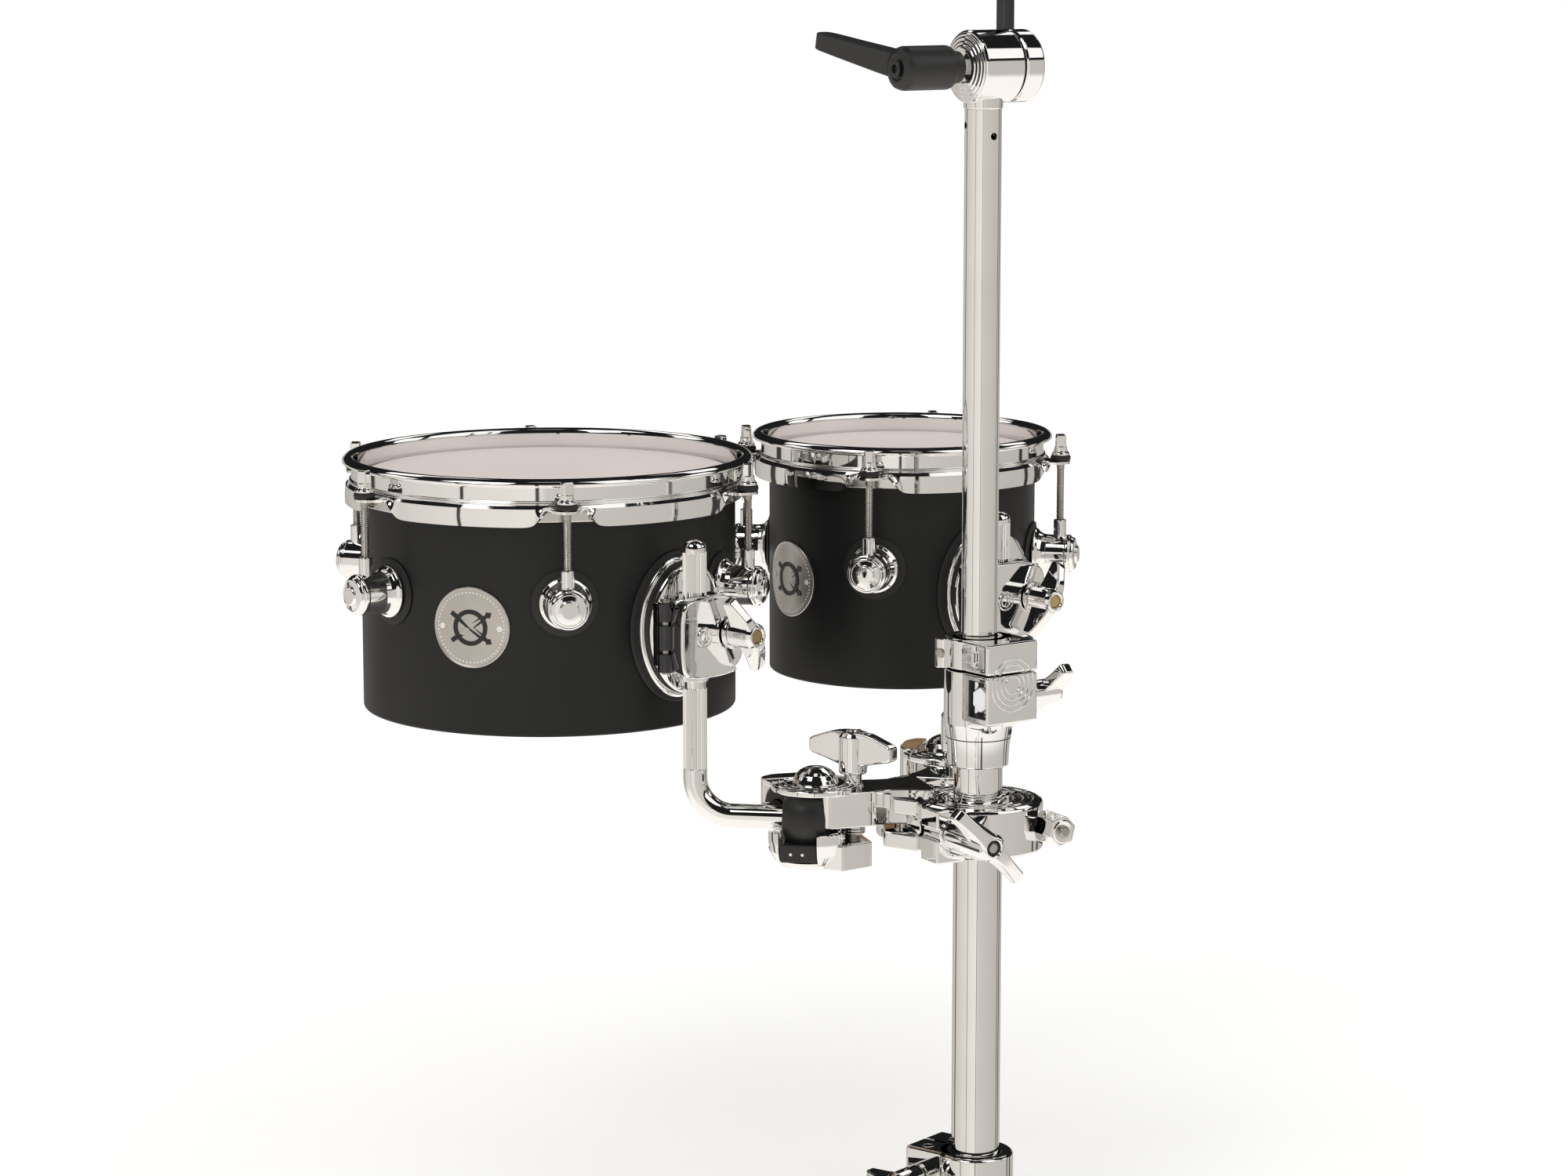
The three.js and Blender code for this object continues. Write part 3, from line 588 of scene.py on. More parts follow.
def set_camera():
    """The photograph's camera."""
    data = bpy.data.cameras.new("camera")
    data.sensor_width, data.lens = 36, LENS
    data.clip_end = 300
    camera = bpy.data.objects.new("camera", data)
    bpy.context.scene.collection.objects.link(camera)
    camera.location = CAMERA_PLACE
    camera.rotation_euler = (math.radians(90 - CAMERA_DIP), 0, 0)
    bpy.context.scene.camera = camera


# ------------------------------------------------------------------ drums
def body_of(drum):
    return f"{drum['name']}_drum"


def drum_frame(drum):
    """The place of a drum's axis, at the foot of its shell."""
    return shift(*drum["centre"], drum["foot"])


def make_shell(drum):
    """A lacquered shell with a bearing edge, and bare wood inside."""
    name, r, h, sides = drum["name"], drum["radius"], SHELL_HEIGHT, 256
    outer = lathe(
        "outer", [(r - 2.6, 0), (r - 0.6, 0), (r, 0.9), (r, h - 1.6), (r - 1.5, h), (r - 5.6, h - 4.2)],
        sides, 0.5
    )
    # the lathe closes both ends, so only its walls are kept
    with editing(outer) as work:
        bmesh.ops.delete(work, geom=[f for f in work.faces if len(f.verts) > 8], context="FACES")
    profile = ((r - 2.6, 0), (r - 5.2, 0), (r - 6, 0.8), (r - 6, h - 4.6), (r - 5.6, h - 4.2))
    verts = [(x, y, z) for radius, z in profile for x, y in circle(radius, sides)]
    inner = make("inner", verts, strips(len(profile), sides))
    shell = merged(f"{name}_lacquered_shell", [painted(outer, SHELL), painted(inner, BARE_WOOD)])
    with editing(shell) as work:
        bmesh.ops.remove_doubles(work, verts=work.verts, dist=10 * TINY)
        bmesh.ops.recalc_face_normals(work, faces=work.faces)
    moved(shell, drum_frame(drum))
    done(shell, None, f"{name}_drum", f"{name}_shell")


def make_head(drum):
    """The film with its collar, and the flesh hoop under the rim."""
    name, r, body = drum["name"], drum["radius"], body_of(drum)
    top = SHELL_HEIGHT + 0.8
    film = lathe(
        f"{name}_head_film",
        [(0, top - 0.5), (r - 3, top - 0.5), (r + 0.5, top - 2.2), (r + 0.5, 114.6), (r + 1.0, 114.6),
         (r + 1.0, top - 1.6), (r - 2.6, top), (r - 30, top), (0, top)],
        192, 0.7,
    )
    done(moved(film, drum_frame(drum)), FILM, body, f"{name}_head")
    flesh = tube(f"{name}_flesh_hoop", r + 1.1, r + 4.4, 114.2, 121, 192, 0.8)
    done(moved(flesh, drum_frame(drum)), ALUMINIUM, body)


def make_hoop(drum):
    """A flanged steel hoop: rolled rim, wall, bead, and a skirt that lifts into an ear at each rod."""
    name, r, body = drum["name"], drum["radius"], body_of(drum)
    ring = lathe(
        f"{name}_rim",
        [(r + 2.5, 121.7), (r + 2.5, 134.6), (r + 3.4, 136.6), (r + 5.2, RIM), (r + 7.3, RIM - 0.3),
         (r + 9.0, RIM - 1.4),
         (r + 9.8, RIM - 2.8), (r + 9.5, RIM - 4.0), (r + 8.2, RIM - 4.1), (r + 7.0, RIM - 3.3),
         (r + 5.6, RIM - 3.2), (r + 4.8, RIM - 4.6),
         (r + 4.7, 125.6), (r + 5.1, 125.1), (r + 5.9, 124.9), (r + 6.2, 124.3), (r + 5.7, 123.7),
         (r + 5.8, 123.3), (r + 7.7, 120.9), (r + 7.3, 120.2), (r + 5.4, 121.4)],
        288, 0.7, closed=True, steps=4,
    )
    steps, rows = 720, 10
    verts, faces = [], []
    for k in range(steps):
        bearing = 360 * k / steps
        gap = min(abs((bearing - lug + 180) % 360 - 180) for lug in drum["lugs"])
        arc = math.radians(gap) * (r + ROD_OFFSET)
        lift = 1 / (1 + math.exp((arc - 12.6) / 2.5))
        tab = max(0.0, 1 - (arc / 9.2) ** 2) ** 0.5
        low = 112.2 * (1 - lift) + 121.4 * lift
        for i in range(rows):
            t = i / (rows - 1)
            # down between the lugs, with a small curl outwards at the edge
            hang = (r + 7.2 + 0.5 * math.sin(t * 2.2), 121.6 + (low - 121.6) * t)
            ear = (r + 6.6 + 13.4 * tab * t + 1.2 * t, 122.3 - 0.9 * math.sin(t * math.pi / 2))
            blend = lift * lift * (3 - 2 * lift)
            radius = hang[0] * (1 - blend) + ear[0] * blend + 2.2 * math.sin(math.pi * blend) * t
            z = hang[1] * (1 - blend) + ear[1] * blend
            direction = outward(bearing)
            verts.append((direction.x * radius, direction.y * radius, z))
    for k in range(steps):
        for i in range(rows - 1):
            m = (k + 1) % steps
            faces.append((k * rows + i, m * rows + i, m * rows + i + 1, k * rows + i + 1))
    skirt = make("skirt", verts, faces)
    solidify = skirt.modifiers.new("sheet", "SOLIDIFY")
    solidify.thickness, solidify.offset = 1.4, 0
    apply(skirt)
    hoop = merged(f"{name}_flanged_hoop", [painted(ring, CHROME), painted(skirt, CHROME)])
    done(moved(hoop, drum_frame(drum)), None, body, f"{name}_hoop", sharp=50)


def make_tension_rod(drum, index, bearing):
    """A threaded rod with a square head, a flange and a black washer."""
    name, r = drum["name"], drum["radius"]
    body = f"{name}_tension_{index}"
    seat = EAR + 2.6
    foot = drum["lug_height"] + 9.5
    pitch, sides = 1.05, 20
    rows = int((seat - 6 - foot) / pitch * 6)
    verts = []
    for i in range(rows + 1):
        z = foot + i * pitch / 6
        for k in range(sides):
            a = 2 * math.pi * k / sides
            phase = ((z - foot) / pitch - k / sides) % 1.0
            radius = 2.2 - 0.42 * abs(2 * phase - 1)
            verts.append((radius * math.cos(a), radius * math.sin(a), z))
    ends = [tuple(reversed(range(sides))), tuple(range(rows * sides, (rows + 1) * sides))]
    faces = strips(rows + 1, sides) + ends
    thread = painted(make("thread", verts, faces), STEEL)
    shank = painted(cylinder("shank", 2.2, seat - 6.5, seat + 1, 24, 0.2), STEEL)
    washer = painted(
        lathe("washer", [
            (2.3, seat - 1.6), (5.5, seat - 1.6), (5.8, seat - 0.2), (5.5, seat + 1.1), (2.3, seat + 1.1),
        ], 36, 0.4, True),
        RUBBER,
    )
    flange = painted(
        lathe(
            "flange",
            [
                (0, seat + 1.1), (4.9, seat + 1.1), (5.1, seat + 2.3), (4.5, seat + 3.1), (3.9, seat + 3.6),
                (3.5, seat + 6.5), (0, seat + 6.5),
            ],
            36, 0.5,
        ),
        CHROME,
    )
    head = brick("head", (-3.0, 3.0), (-3.0, 3.0), (seat + 3.4, seat + 13.2), 0)
    for vertex in head.data.vertices:
        if vertex.co.z > seat + 10:
            vertex.co.x *= 0.9
            vertex.co.y *= 0.9
    bevel(head, 0.9, 4)
    place = Matrix.Translation(
        at(drum["centre"], bearing, r + ROD_OFFSET, 0, drum["foot"])
    ) @ turn_z(bearing + 20)
    rod = merged(f"{name}_rod_{index}", [thread, shank, washer, flange, painted(head, CHROME)])
    done(moved(rod, place), None, body, f"{name}_tension_rod_{index}", sharp=30)


def make_lug(drum, index, bearing):
    """A turned lug: gasket, flared foot, waisted barrel with a ringed tip, and the rod's swivel tube."""
    name, r, body = drum["name"], drum["radius"], body_of(drum)
    z = drum["foot"] + drum["lug_height"]
    place = axes(at(drum["centre"], bearing, r, 0, z), sideways(bearing), outward(bearing))
    barrel = lathe(
        "barrel",
        [(0, 1.6), (13.9, 1.6), (14.1, 2.3), (13.7, 3.2), (12.2, 4.4), (11.1, 6.4), (10.7, 9), (10.6, 19.6),
         (10.9, 20.2), (10.9, 21.6), (10.5, 22.3),
         (9.7, 22.7), (9.5, 23.7), (8.9, 24.6), (8.1, 24.9), (7.9, 24.6), (5.2, 25.3), (5.0, 26.2),
         (4.5, 26.7), (0, 26.9)],
        80, 0.35,
    )
    swivel = lathe(
        "swivel",
        [(0, 2), (3.6, 2), (3.6, 19.2), (3.4, 19.6), (2.6, 19.7), (2.5, 18), (0, 18)], 36, 0.2,
    )
    moved(swivel, axes((0, 0, ROD_OFFSET), (1, 0, 0), (0, 1, 0)))
    lug = merged(f"{name}_turret_{index}", [painted(barrel, CAST), painted(swivel, CHROME)])
    done(moved(lug, place), None, body, f"{name}_lug_{index}", sharp=28)

    rim = [(17.6, 0.05), (17.9, 0.7), (17.4, 1.3), (15.2, 1.7), (13.6, 1.8)]
    gasket = shell_plate(f"{name}_lug_gasket_{index}", drum, bearing, drum["lug_height"], 1, 1, rim, 56)
    done(gasket, RUBBER, body)


def on_shell(drum, bearing, height, x, z, lift):
    """A point on the shell, x millimetres round it and z up from a centre, lifted off its surface."""
    angle = math.radians(bearing) + x / drum["radius"]
    direction = Vector((math.sin(angle), -math.cos(angle), 0))
    base = Vector((*drum["centre"], drum["foot"] + height + z))
    return base + direction * (drum["radius"] + lift)


def shell_plate(name, drum, bearing, height, half_width, half_height, sections, sides=96):
    """An oval plate wrapped on the shell. sections are (share of the way out, lift), from the rim inwards."""
    verts = []
    for share, lift in sections:
        for k in range(sides):
            a = 2 * math.pi * k / sides
            x, z = half_width * share * math.cos(a), half_height * share * math.sin(a)
            verts.append(on_shell(drum, bearing, height, x, z, lift))
    rows = len(sections)
    faces = strips(rows, sides) + [tuple(range((rows - 1) * sides, rows * sides))]
    return outward_faces(make(name, verts, faces))


def stand_on_badge(obj, drum, x, z):
    """Stands a small turned piece upright on the badge."""
    centre = on_shell(drum, drum["badge"], BADGE_HEIGHT, x, z, 1.15)
    direction = (centre - Vector((*drum["centre"], centre.z))).normalized()
    return moved(obj, axes(centre, (0, 0, 1), direction))


def make_badge(drum):
    """A satin disc with a ring of dots, two screws, and two crossed sticks over a ring."""
    name, body, bearing, height = drum["name"], body_of(drum), drum["badge"], BADGE_HEIGHT
    plate = shell_plate(
        f"{name}_badge_plate", drum, bearing, height, 21.5, 21.5,
        [
            (1.0, 0.1), (1.0, 1.0), (0.985, 1.3), (0.96, 1.35), (0.945, 1.15), (0.7, 1.15), (0.35, 1.15),
            (0.05, 1.15),
        ],
    )
    done(plate, NICKEL, body, f"{name}_badge", sharp=30)
    dots = []
    for x, z in circle(18.6, 56):
        dots.append(stand_on_badge(lathe("dot", [(0, 0.42), (0.3, 0.32), (0.5, 0)], 10, 0), drum, x, z))
    for side in (-1, 1):
        screw = lathe("screw", [(0, 0.25), (0.5, 0.25), (0.6, 0.7), (1.3, 0.6), (1.6, 0)], 20, 0.1)
        dots.append(stand_on_badge(screw, drum, side * 16.2, 0))
    done(painted(merged(f"{name}_badge_dots", dots), CREAM), None, body)

    marks = []
    for turn in (35, -35):
        c, s = math.cos(math.radians(turn)), math.sin(math.radians(turn))
        outline = [
            (-13, -1.2), (8.6, -1.5), (11, -0.8), (12.2, -1.9), (14.4, 0), (12.2, 1.9), (11, 0.8),
            (8.6, 1.5), (-13, 1.2),
        ]
        turned = [(x * c - y * s, x * s + y * c) for x, y in outline]
        verts = [on_shell(drum, bearing, height, x, z, lift) for lift in (1.1, 1.5) for x, z in turned]
        marks.append(slab("stick", verts))
    profile = ((9.6, 1.1), (9.6, 1.45), (7.2, 1.45), (7.2, 1.1))
    points = [(x, z, lift) for radius, lift in profile for x, z in circle(radius, 64)]
    verts = [on_shell(drum, bearing, height, *point) for point in points]
    marks.append(outward_faces(make("ring", verts, strips(4, 64, True))))
    done(painted(merged(f"{name}_badge_emblem", marks), ENAMEL), None, body)


# ------------------------------------------------------------------ drum mounts
def make_mount(drum):
    """The oval plate, the hinged bracket round the L-rod, and its wing bolt."""
    name, r, body, bearing = drum["name"], drum["radius"], body_of(drum), drum["mount"]
    gasket = shell_plate(
        f"{name}_mount_gasket", drum, bearing, MOUNT_HEIGHT, 30, 40.5,
        [(1.0, 0.05), (1.0, 1.5), (0.97, 2.2), (0.9, 2.3), (0.8, 2.3)],
    )
    done(gasket, RUBBER, body, f"{name}_mount_plate")
    plate = shell_plate(
        f"{name}_mount_flange", drum, bearing, MOUNT_HEIGHT, 25.5, 37.8,
        [(1.0, 2.3), (1.0, 3.2), (0.985, 3.8), (0.965, 4.0), (0.95, 3.7), (0.945, 4.3), (0.93, 9.6),
         (0.915, 11.0), (0.885, 11.9),
         (0.8, 12.4), (0.6, 12.9), (0.4, 13.2), (0.2, 13.3)],
    )
    done(plate, CAST, body, None, sharp=40)

    z = drum["foot"] + MOUNT_HEIGHT
    # local axes of the bracket: X sideways, Y into the drum, Z up, from the L-rod's axis
    place = Matrix.Translation(at(drum["centre"], bearing, r + ROD_OUT, ROD_SIDE, z)) @ turn_z(bearing)
    right = 26.2
    bore = lambda: cylinder("slot", ROD_RADIUS + 0.35, -40, 40, 48, 0)
    back = brick("back", (-13.5, right - 1.5), (0.8, 14.5), (-18.5, 18.5), 2.6, 5)
    boolean(back, bore())
    knuckles = []
    for low, high in ((-18.5, -8.4), (-6.6, 6.6), (8.4, 18.5)):
        knuckles.append(cylinder("knuckle", 4.6, low, high, 36, 0.9))
    web = brick("web", (-17.5, -12.5), (1.6, 13.5), (-16.5, 16.5), 0.8)
    pin = painted(cylinder("pin", 2.2, -19.6, 19.6, 24, 0.4), STEEL)
    knuckle = moved(merged("knuckles", knuckles), shift(-17.6, 3.0))
    moved(pin, shift(-17.6, 3.0))
    outline = [
        (-19, -20.2), (-8, -21.8), (8, -22.2), (20, -20.6), (right, -15), (right, 13), (21, 18.4),
        (8, 21.4), (-8, 21.6), (-19, 19.4), (-20.6, 8), (-20.8, -8),
    ]
    jaw = prism("jaw", outline, 1.2, 12.8, 0, corner=6)
    for v in jaw.data.vertices:  # the back of the jaw is narrower, and its face is crowned
        if v.co.z < 5:
            v.co.x, v.co.y = v.co.x * 0.93 + 0.6, v.co.y * 0.92
        elif v.co.x > 18:
            v.co.z -= 3.4
    bevel(jaw, 3.6, 7, 40)
    moved(jaw, facing_front())
    boolean(jaw, bore())
    rings = moved(raised_rings("rings", (3.0, 5.0), 0.45, -0.4, 0.3, 64, 0.1), facing_front((-4.5, -12.7, 0)))
    # the knuckles and the web get chrome with a painted dark reflection
    parts = [painted(p, CAST) for p in (back, jaw, rings)] + [
        painted(knuckle, PAINTED_REFLECTION_CHROME), painted(web, PAINTED_REFLECTION_CHROME), pin,
    ]
    bracket = merged(f"{name}_rod_bracket", parts)
    done(moved(bracket, place), None, body, f"{name}_mount_bracket", sharp=30)

    bolt = wing(f"{name}_bracket_wing", 7.0, 20.4, 38, 22.5, 37.6, 44, 6.0, drop=7.0, tip=7.0)
    shank = painted(cylinder("shank", 3.4, 4, 30, 24, 0.2), STEEL)
    collar = painted(cylinder("collar", 8.6, 18.9, 20.2, 32, 0.4), CAST)
    bolt = merged(f"{name}_bracket_wing_bolt", [bolt, shank, collar])
    where = axes(at(drum["centre"], bearing, r + 17.5, BOLT_SIDE, z), sideways(bearing), outward(bearing))
    done(
        moved(bolt, where @ turn_z(drum["wing_turn"])), None, f"{name}_mount_bolt", f"{name}_mount_wing",
        sharp=32,
    )


# ------------------------------------------------------------------ L-rods and ball joints
def rod_line(drum):
    """The L-rod's upright in plan, and the direction and length of its level run to the ball."""
    up = at(drum["centre"], drum["mount"], drum["radius"] + ROD_OUT, ROD_SIDE, 0)
    run = Vector((*drum["ball"], 0)) - up
    return up, run.normalized(), run.length


def make_l_rod(drum):
    """The upright is fluted down to a hand's width above the bend, with one ring groove."""
    name = drum["name"]
    up, along, length = rod_line(drum)
    bend, low, top = 20.0, BALL_HEIGHT, drum["rod_top"]
    stations = []  # (centre, direction, radius, flute depth)
    dome = [(0.02, 0.0), (0.35, 0.25), (0.62, 0.9), (0.84, 2.1), (0.96, 3.6), (1.0, 5.2)]
    for share, down in dome:
        stations.append((up + Vector((0, 0, top - down)), Vector((0, 0, -1)), ROD_RADIUS * share, 0.0))
    z, groove, flutes_end = top - 6.5, top - 76.5, top - 121
    heights = [
        z, z - 0.4, groove + 2.2, groove + 1.6, groove - 1.6, groove - 2.2, flutes_end, flutes_end - 0.6,
        low + bend + 0.01,
    ]
    for h in heights:
        fluted = flutes_end - 0.1 < h < z - 0.2 and not groove - 1.9 < h < groove + 1.9
        shrink = 0.7 if groove - 1.9 < h < groove + 1.9 else 0.0
        stations.append(
            (up + Vector((0, 0, h)), Vector((0, 0, -1)), ROD_RADIUS - shrink, 0.5 if fluted else 0.0)
        )
    corner = up + Vector((0, 0, low + bend)) + along * bend
    for i in range(1, 13):
        a = math.radians(90 * i / 12)
        centre = corner - along * bend * math.cos(a) - Vector((0, 0, bend * math.sin(a)))
        direction = along * math.sin(a) - Vector((0, 0, math.cos(a)))
        stations.append((centre, direction, ROD_RADIUS, 0.0))
    for reach, share in (
        (length + 15.4, 1.0), (length + 16.2, 0.92), (length + 16.4, 0.8), (length + 16.4, 0.02),
    ):
        stations.append((up + along * reach + Vector((0, 0, low)), along, ROD_RADIUS * share, 0.0))
    across = along.cross(Vector((0, 0, 1)))
    sides, flutes = 144, 36
    verts = []
    for centre, direction, radius, depth in stations:
        second = direction.cross(across)
        for k in range(sides):
            a = 2 * math.pi * k / sides
            rr = radius - depth * (0.5 + 0.5 * math.cos(flutes * a)) ** 0.7
            verts.append(centre + across * rr * math.cos(a) + second * rr * math.sin(a))
    rows = len(stations)
    ends = [tuple(range(sides)), tuple(range((rows - 1) * sides, rows * sides))]
    faces = strips(rows, sides) + ends
    rod = outward_faces(make(f"{name}_bent_rod", verts, faces))
    done(rod, CHROME, f"{name}_rod", f"{name}_l_rod", sharp=24)


def make_ball(drum):
    """A black nylon barrel on the rod."""
    name = drum["name"]
    _, along, _ = rod_line(drum)
    start, end = BARREL_ENDS
    profile = [(ROD_RADIUS + 0.5, start)]
    for i in range(15):
        x = start + (end - start) * i / 14
        profile.append((math.sqrt(BARREL_RADIUS**2 - x * x), x))
    profile += [(ROD_RADIUS + 0.5, end)]
    ball = lathe(f"{name}_nylon_barrel", profile, 72, 0.8, closed=True)
    centre = Vector((*drum["ball"], BALL_HEIGHT))
    moved(ball, axes(centre, (0, 0, 1), along))
    done(ball, NYLON, f"{name}_ball", f"{name}_ball", sharp=35)


# ------------------------------------------------------------------ the two-armed clamp
def arm_line(drum):
    """The ball in plan, and the direction and length from it to the hub."""
    ball = Vector((*drum["ball"], 0))
    line = Vector((*HUB, 0)) - ball
    return ball, line.normalized(), line.length


def at_ball(drum):
    """The axes of the window at a ball: X along the L-rod, towards the right."""
    ball, _, _ = arm_line(drum)
    _, along, _ = rod_line(drum)
    return axes(ball, along if along.x > 0.5 else -along, (0, 0, 1))


def rings_profile(radius, top, rise, steps, inner):
    """A lid's profile from its edge to a flat middle: concentric ridges that climb inwards."""
    points, r = [], radius
    for i in range(steps):
        points += [
            (r - 0.3, top + rise * i), (r - 0.7, top + rise * i + 0.4), (r - 1.1, top + rise * i + 0.4),
            (r - 1.6, top + rise * i + 0.1),
        ]
        r -= 3.2
    points.append((inner, top + rise * steps))
    return points


def make_arm(drum):
    """The upper arm: a bar from the hub, the ridged lid over the ball, and the wall behind the ball."""
    ball, to_hub, length = arm_line(drum)
    place = axes(ball, to_hub, (0, 0, 1))
    outline = [
        (2, -18), (30, -16.5), (length - 33, -13), (length - 20, -16.5), (length - 8, -22),
        (length - 8, 17), (length - 27, 12.5), (34, 14.5), (6, 14.5),
    ]
    bar = prism("bar", outline, 213.2, 232.0, 0, corner=6)
    bevel(bar, 0.9, 4)
    moved(bar, place)
    boolean(bar, moved(brick("window", ARM_WINDOW, (-40, 15), (190, LID_LOW), 0), at_ball(drum)))
    lid = lathe(
        "lid",
        [
            (0, LID_LOW), (22.6, LID_LOW), (23.4, 231.4), (23.4, 233.6),
        ] + rings_profile(23.4, LID_TOP, 0.3, 3, 12.2)
        + [(12.0, 235.4), (11.4, 237.2), (10.2, 239.4), (8.2, 241.3), (5.2, 242.8), (0, 243.4)],
        112, 0.45,
    )
    moved(lid, Matrix.Translation(ball + Vector(LID_SHIFT[drum["name"]])))
    wall = prism(
        "wall", [(-19, 12.6), (10, 12.6), (10, 20), (2, 23.6), (-14, 23.6), (-21.5, 18.5), (-21.5, 12.6)],
        211.5, 236, 0, corner=3,
    )
    bevel(wall, 1.6, 5)
    screw = prism("screw", circle(3.4, 6), 0, 3.4, 0.4, 2)
    moved(screw, axes((-21, 18, 216.5), (0, 1, 0), (-1, 0.25, 0)))
    if drum is SMALL:  # its wall stands on the other side of the arm, and further out
        for piece in (wall, screw):
            moved(piece, shift(0, SMALL_WALL_SHIFT))
            moved(piece, Matrix.Diagonal((1, -1, 1, 1)))
            piece.data.flip_normals()
    for piece in (wall, screw):
        moved(piece, place)
    return [painted(bar, CAST), painted(lid, CAST), painted(wall, CAST), painted(screw, STEEL)]


def make_clamp():
    """Both arms, the hub between them, the rear half of the collar and its stud."""
    parts = []
    for drum in (LARGE, SMALL):
        parts += make_arm(drum)
    top = lathe(
        "hub_top",
        [
            (0, 221), (CLAMP_RADIUS, 221), (CLAMP_RADIUS, 228.2),
        ] + rings_profile(CLAMP_RADIUS, 228.5, 0.4, 4, 21.2)
        + [(20.6, 229.5), (0, 229.5)],
        160, 0.4,
    )
    bottom = lathe(
        "hub_bottom",
        [(0, 203), (CLAMP_RADIUS - 2, 203), (CLAMP_RADIUS - 0.6, 204.4), (CLAMP_RADIUS - 0.6, 211), (0, 211)],
        128, 0.8,
    )
    core = cylinder("hub_core", 24, 210, 222, 64, 0)
    for piece in (top, bottom, core):
        moved(piece, shift(*HUB, 0))
    toe = prism(
        "toe", [(-49, 0), (-44, -4), (-32.3, -11.5), (-24, -4), (-24, 20), (-49, 20)], 202.6, 211.2, 0,
    )
    bevel(toe, 1.0, 4)
    heel = prism(
        "heel", [(-46, 8), (-44, -3), (-31.5, -10.5), (-27, -7), (-24, 20), (-46, 20)], 221.2, 229.4, 0,
    )
    bevel(heel, 0.9, 4)
    for piece in (top, bottom, core, toe, heel):
        boolean(piece, cylinder("bore", CLAMP_RADIUS - 0.6, 180, 260, 96, 0))
        parts.append(painted(piece, CAST))
    holes = []
    for x, y in ((-27, 26), (-13.5, 33)):
        hole = lathe("hole", [(0, 229.2), (3.4, 229.2), (3.8, 229.9), (4.9, 230.0), (5.3, 229.4)], 32, 0.15)
        holes.append(moved(hole, shift(x, y)))
    parts.append(painted(merged("holes", holes), CHROME))
    pin = lathe("pin", [(0, -4), (4.6, -4), (5.0, -3), (5.0, 3), (3.4, 4), (3.4, 12), (0, 12)], 32, 0.4)
    moved(pin, axes((-32, -1, 216.4), (0, 0, 1), (0.93, -0.36, 0)))
    parts.append(painted(pin, STEEL))

    ring = half_ring(False)
    moved(ring, turn_z(CLAMP_TURN))
    parts.append(painted(ring, CAST))
    for side in (-1, 1):  # sockets of the two studs, behind the split
        boss = cylinder("boss", 8.4, 0, 14, 32, 1.2)
        moved(boss, turn_z(CLAMP_TURN) @ axes((side * STUDS, 1.4, BALL_HEIGHT), (1, 0, 0), (0, 1, 0)))
        parts.append(painted(boss, CAST))
    done(merged("clamp_arms", parts), None, "clamp", "clamp_body", sharp=32)

    stud = lathe("clamp_stud", [(0, -16), (3.4, -16), (3.4, 52), (2.8, 53), (0, 53)], 32, 0.2)
    moved(stud, turn_z(CLAMP_TURN) @ at_stud(-1))
    done(stud, STEEL, "clamp", "clamp_wing_stud")


def at_stud(side):
    """A stud of the clamp: +Z out of the front. The side is -1 for the wing nut and 1 for the long nut."""
    return facing_front((side * STUDS, 0, BALL_HEIGHT))


def half_ring(front):
    """Half of the collar round the tube, with ridges on top. Its own +X runs along the split."""
    r, inner = CLAMP_RADIUS, TUBE + 0.3
    ring = lathe(
        "collar",
        [(inner, CLAMP_LOW + 1), (inner, 227.6), (inner + 2, 228.6), (18.2, 228.6), (18.7, 229.4),
         (21, 229.4), (21.6, 228.8), (23.2, 228.8),
         (23.7, 229.5), (26, 229.5), (26.6, 228.9), (28.4, 228.9), (29, 229.6), (31.2, 229.6),
         (33.4, 228.6), (r, 227.2), (r, CLAMP_LOW + 1.6), (r - 1.6, CLAMP_LOW)],
        160, 0.35, closed=True,
    )
    keep = brick("keep", (-60, 60), (-60, -1.0) if front else (1.0, 60), (190, 240), 0)
    boolean(ring, keep, "INTERSECT")
    return ring


def make_clamp_jaw():
    """The front half of the collar with its long nut, and the wing nut."""
    ring = half_ring(True)
    for side in (-1, 1):
        seat = cylinder("seat", 10.4, 18, 60, 48, 0)
        moved(seat, at_stud(side))
        boolean(ring, seat)
    upper = brick("upper", (-36, -19), (-17.6, -1.2), (218.6, 228.8), 1.2)
    lower = brick("lower", (-36, -19), (-17.6, -1.2), (200.6, 213.4), 1.2)
    seat = cylinder("seat", 8.6, 2, 18, 40, 0.8)
    moved(seat, at_stud(-1))
    parts = [painted(p, CAST) for p in (ring, upper, lower, seat)]
    done(
        moved(merged("clamp_front_jaw", parts), turn_z(CLAMP_TURN)), None, "clamp_jaw", "clamp_jaw",
        sharp=32,
    )

    sleeve = lathe("sleeve", [(0, 2), (7, 2), (7, 20), (6.2, 21.5), (0, 21.5)], 32, 0.4)
    hexagon = prism("hexagon", circle(8.2, 6, 15), 21.6, 41, 0.7, 3)
    end = lathe("end", [(0, 39.5), (3.0, 39.5), (3.4, 41.2), (5.6, 41.6), (6.4, 40.8)], 32, 0.2)
    tip = lathe("tip", [(0, 30), (3.0, 30), (3.0, 42.6), (2.4, 43.4), (0, 43.4)], 24, 0.2)
    nut = merged(
        "clamp_long_nut",
        [painted(sleeve, CHROME), painted(hexagon, CHROME), painted(end, CHROME), painted(tip, STEEL)],
    )
    moved(nut, turn_z(CLAMP_TURN) @ at_stud(1))
    done(nut, None, "clamp_jaw", "clamp_hex_bolt", sharp=30)

    # the wing nut's thread is painted shade, drawn dark as the inside of its bore
    turning = wing("clamp_wing", 7.5, 18.6, 56.5, 43, 56.8, 54, 7.0, 3.9, 4.5, 7.5, PAINTED_SHADE)
    socket = painted(
        lathe("socket", [(0, 46), (2.7, 46), (2.7, 55.2), (2.2, 55.7), (0, 55.7)], 24, 0.2), STEEL,
    )
    turning = merged("clamp_wing_piece", [turning, socket])
    place = turn_z(CLAMP_TURN) @ at_stud(-1) @ turn_z(-45)
    done(moved(turning, place), None, "clamp_wing", "clamp_wing_nut", sharp=32)


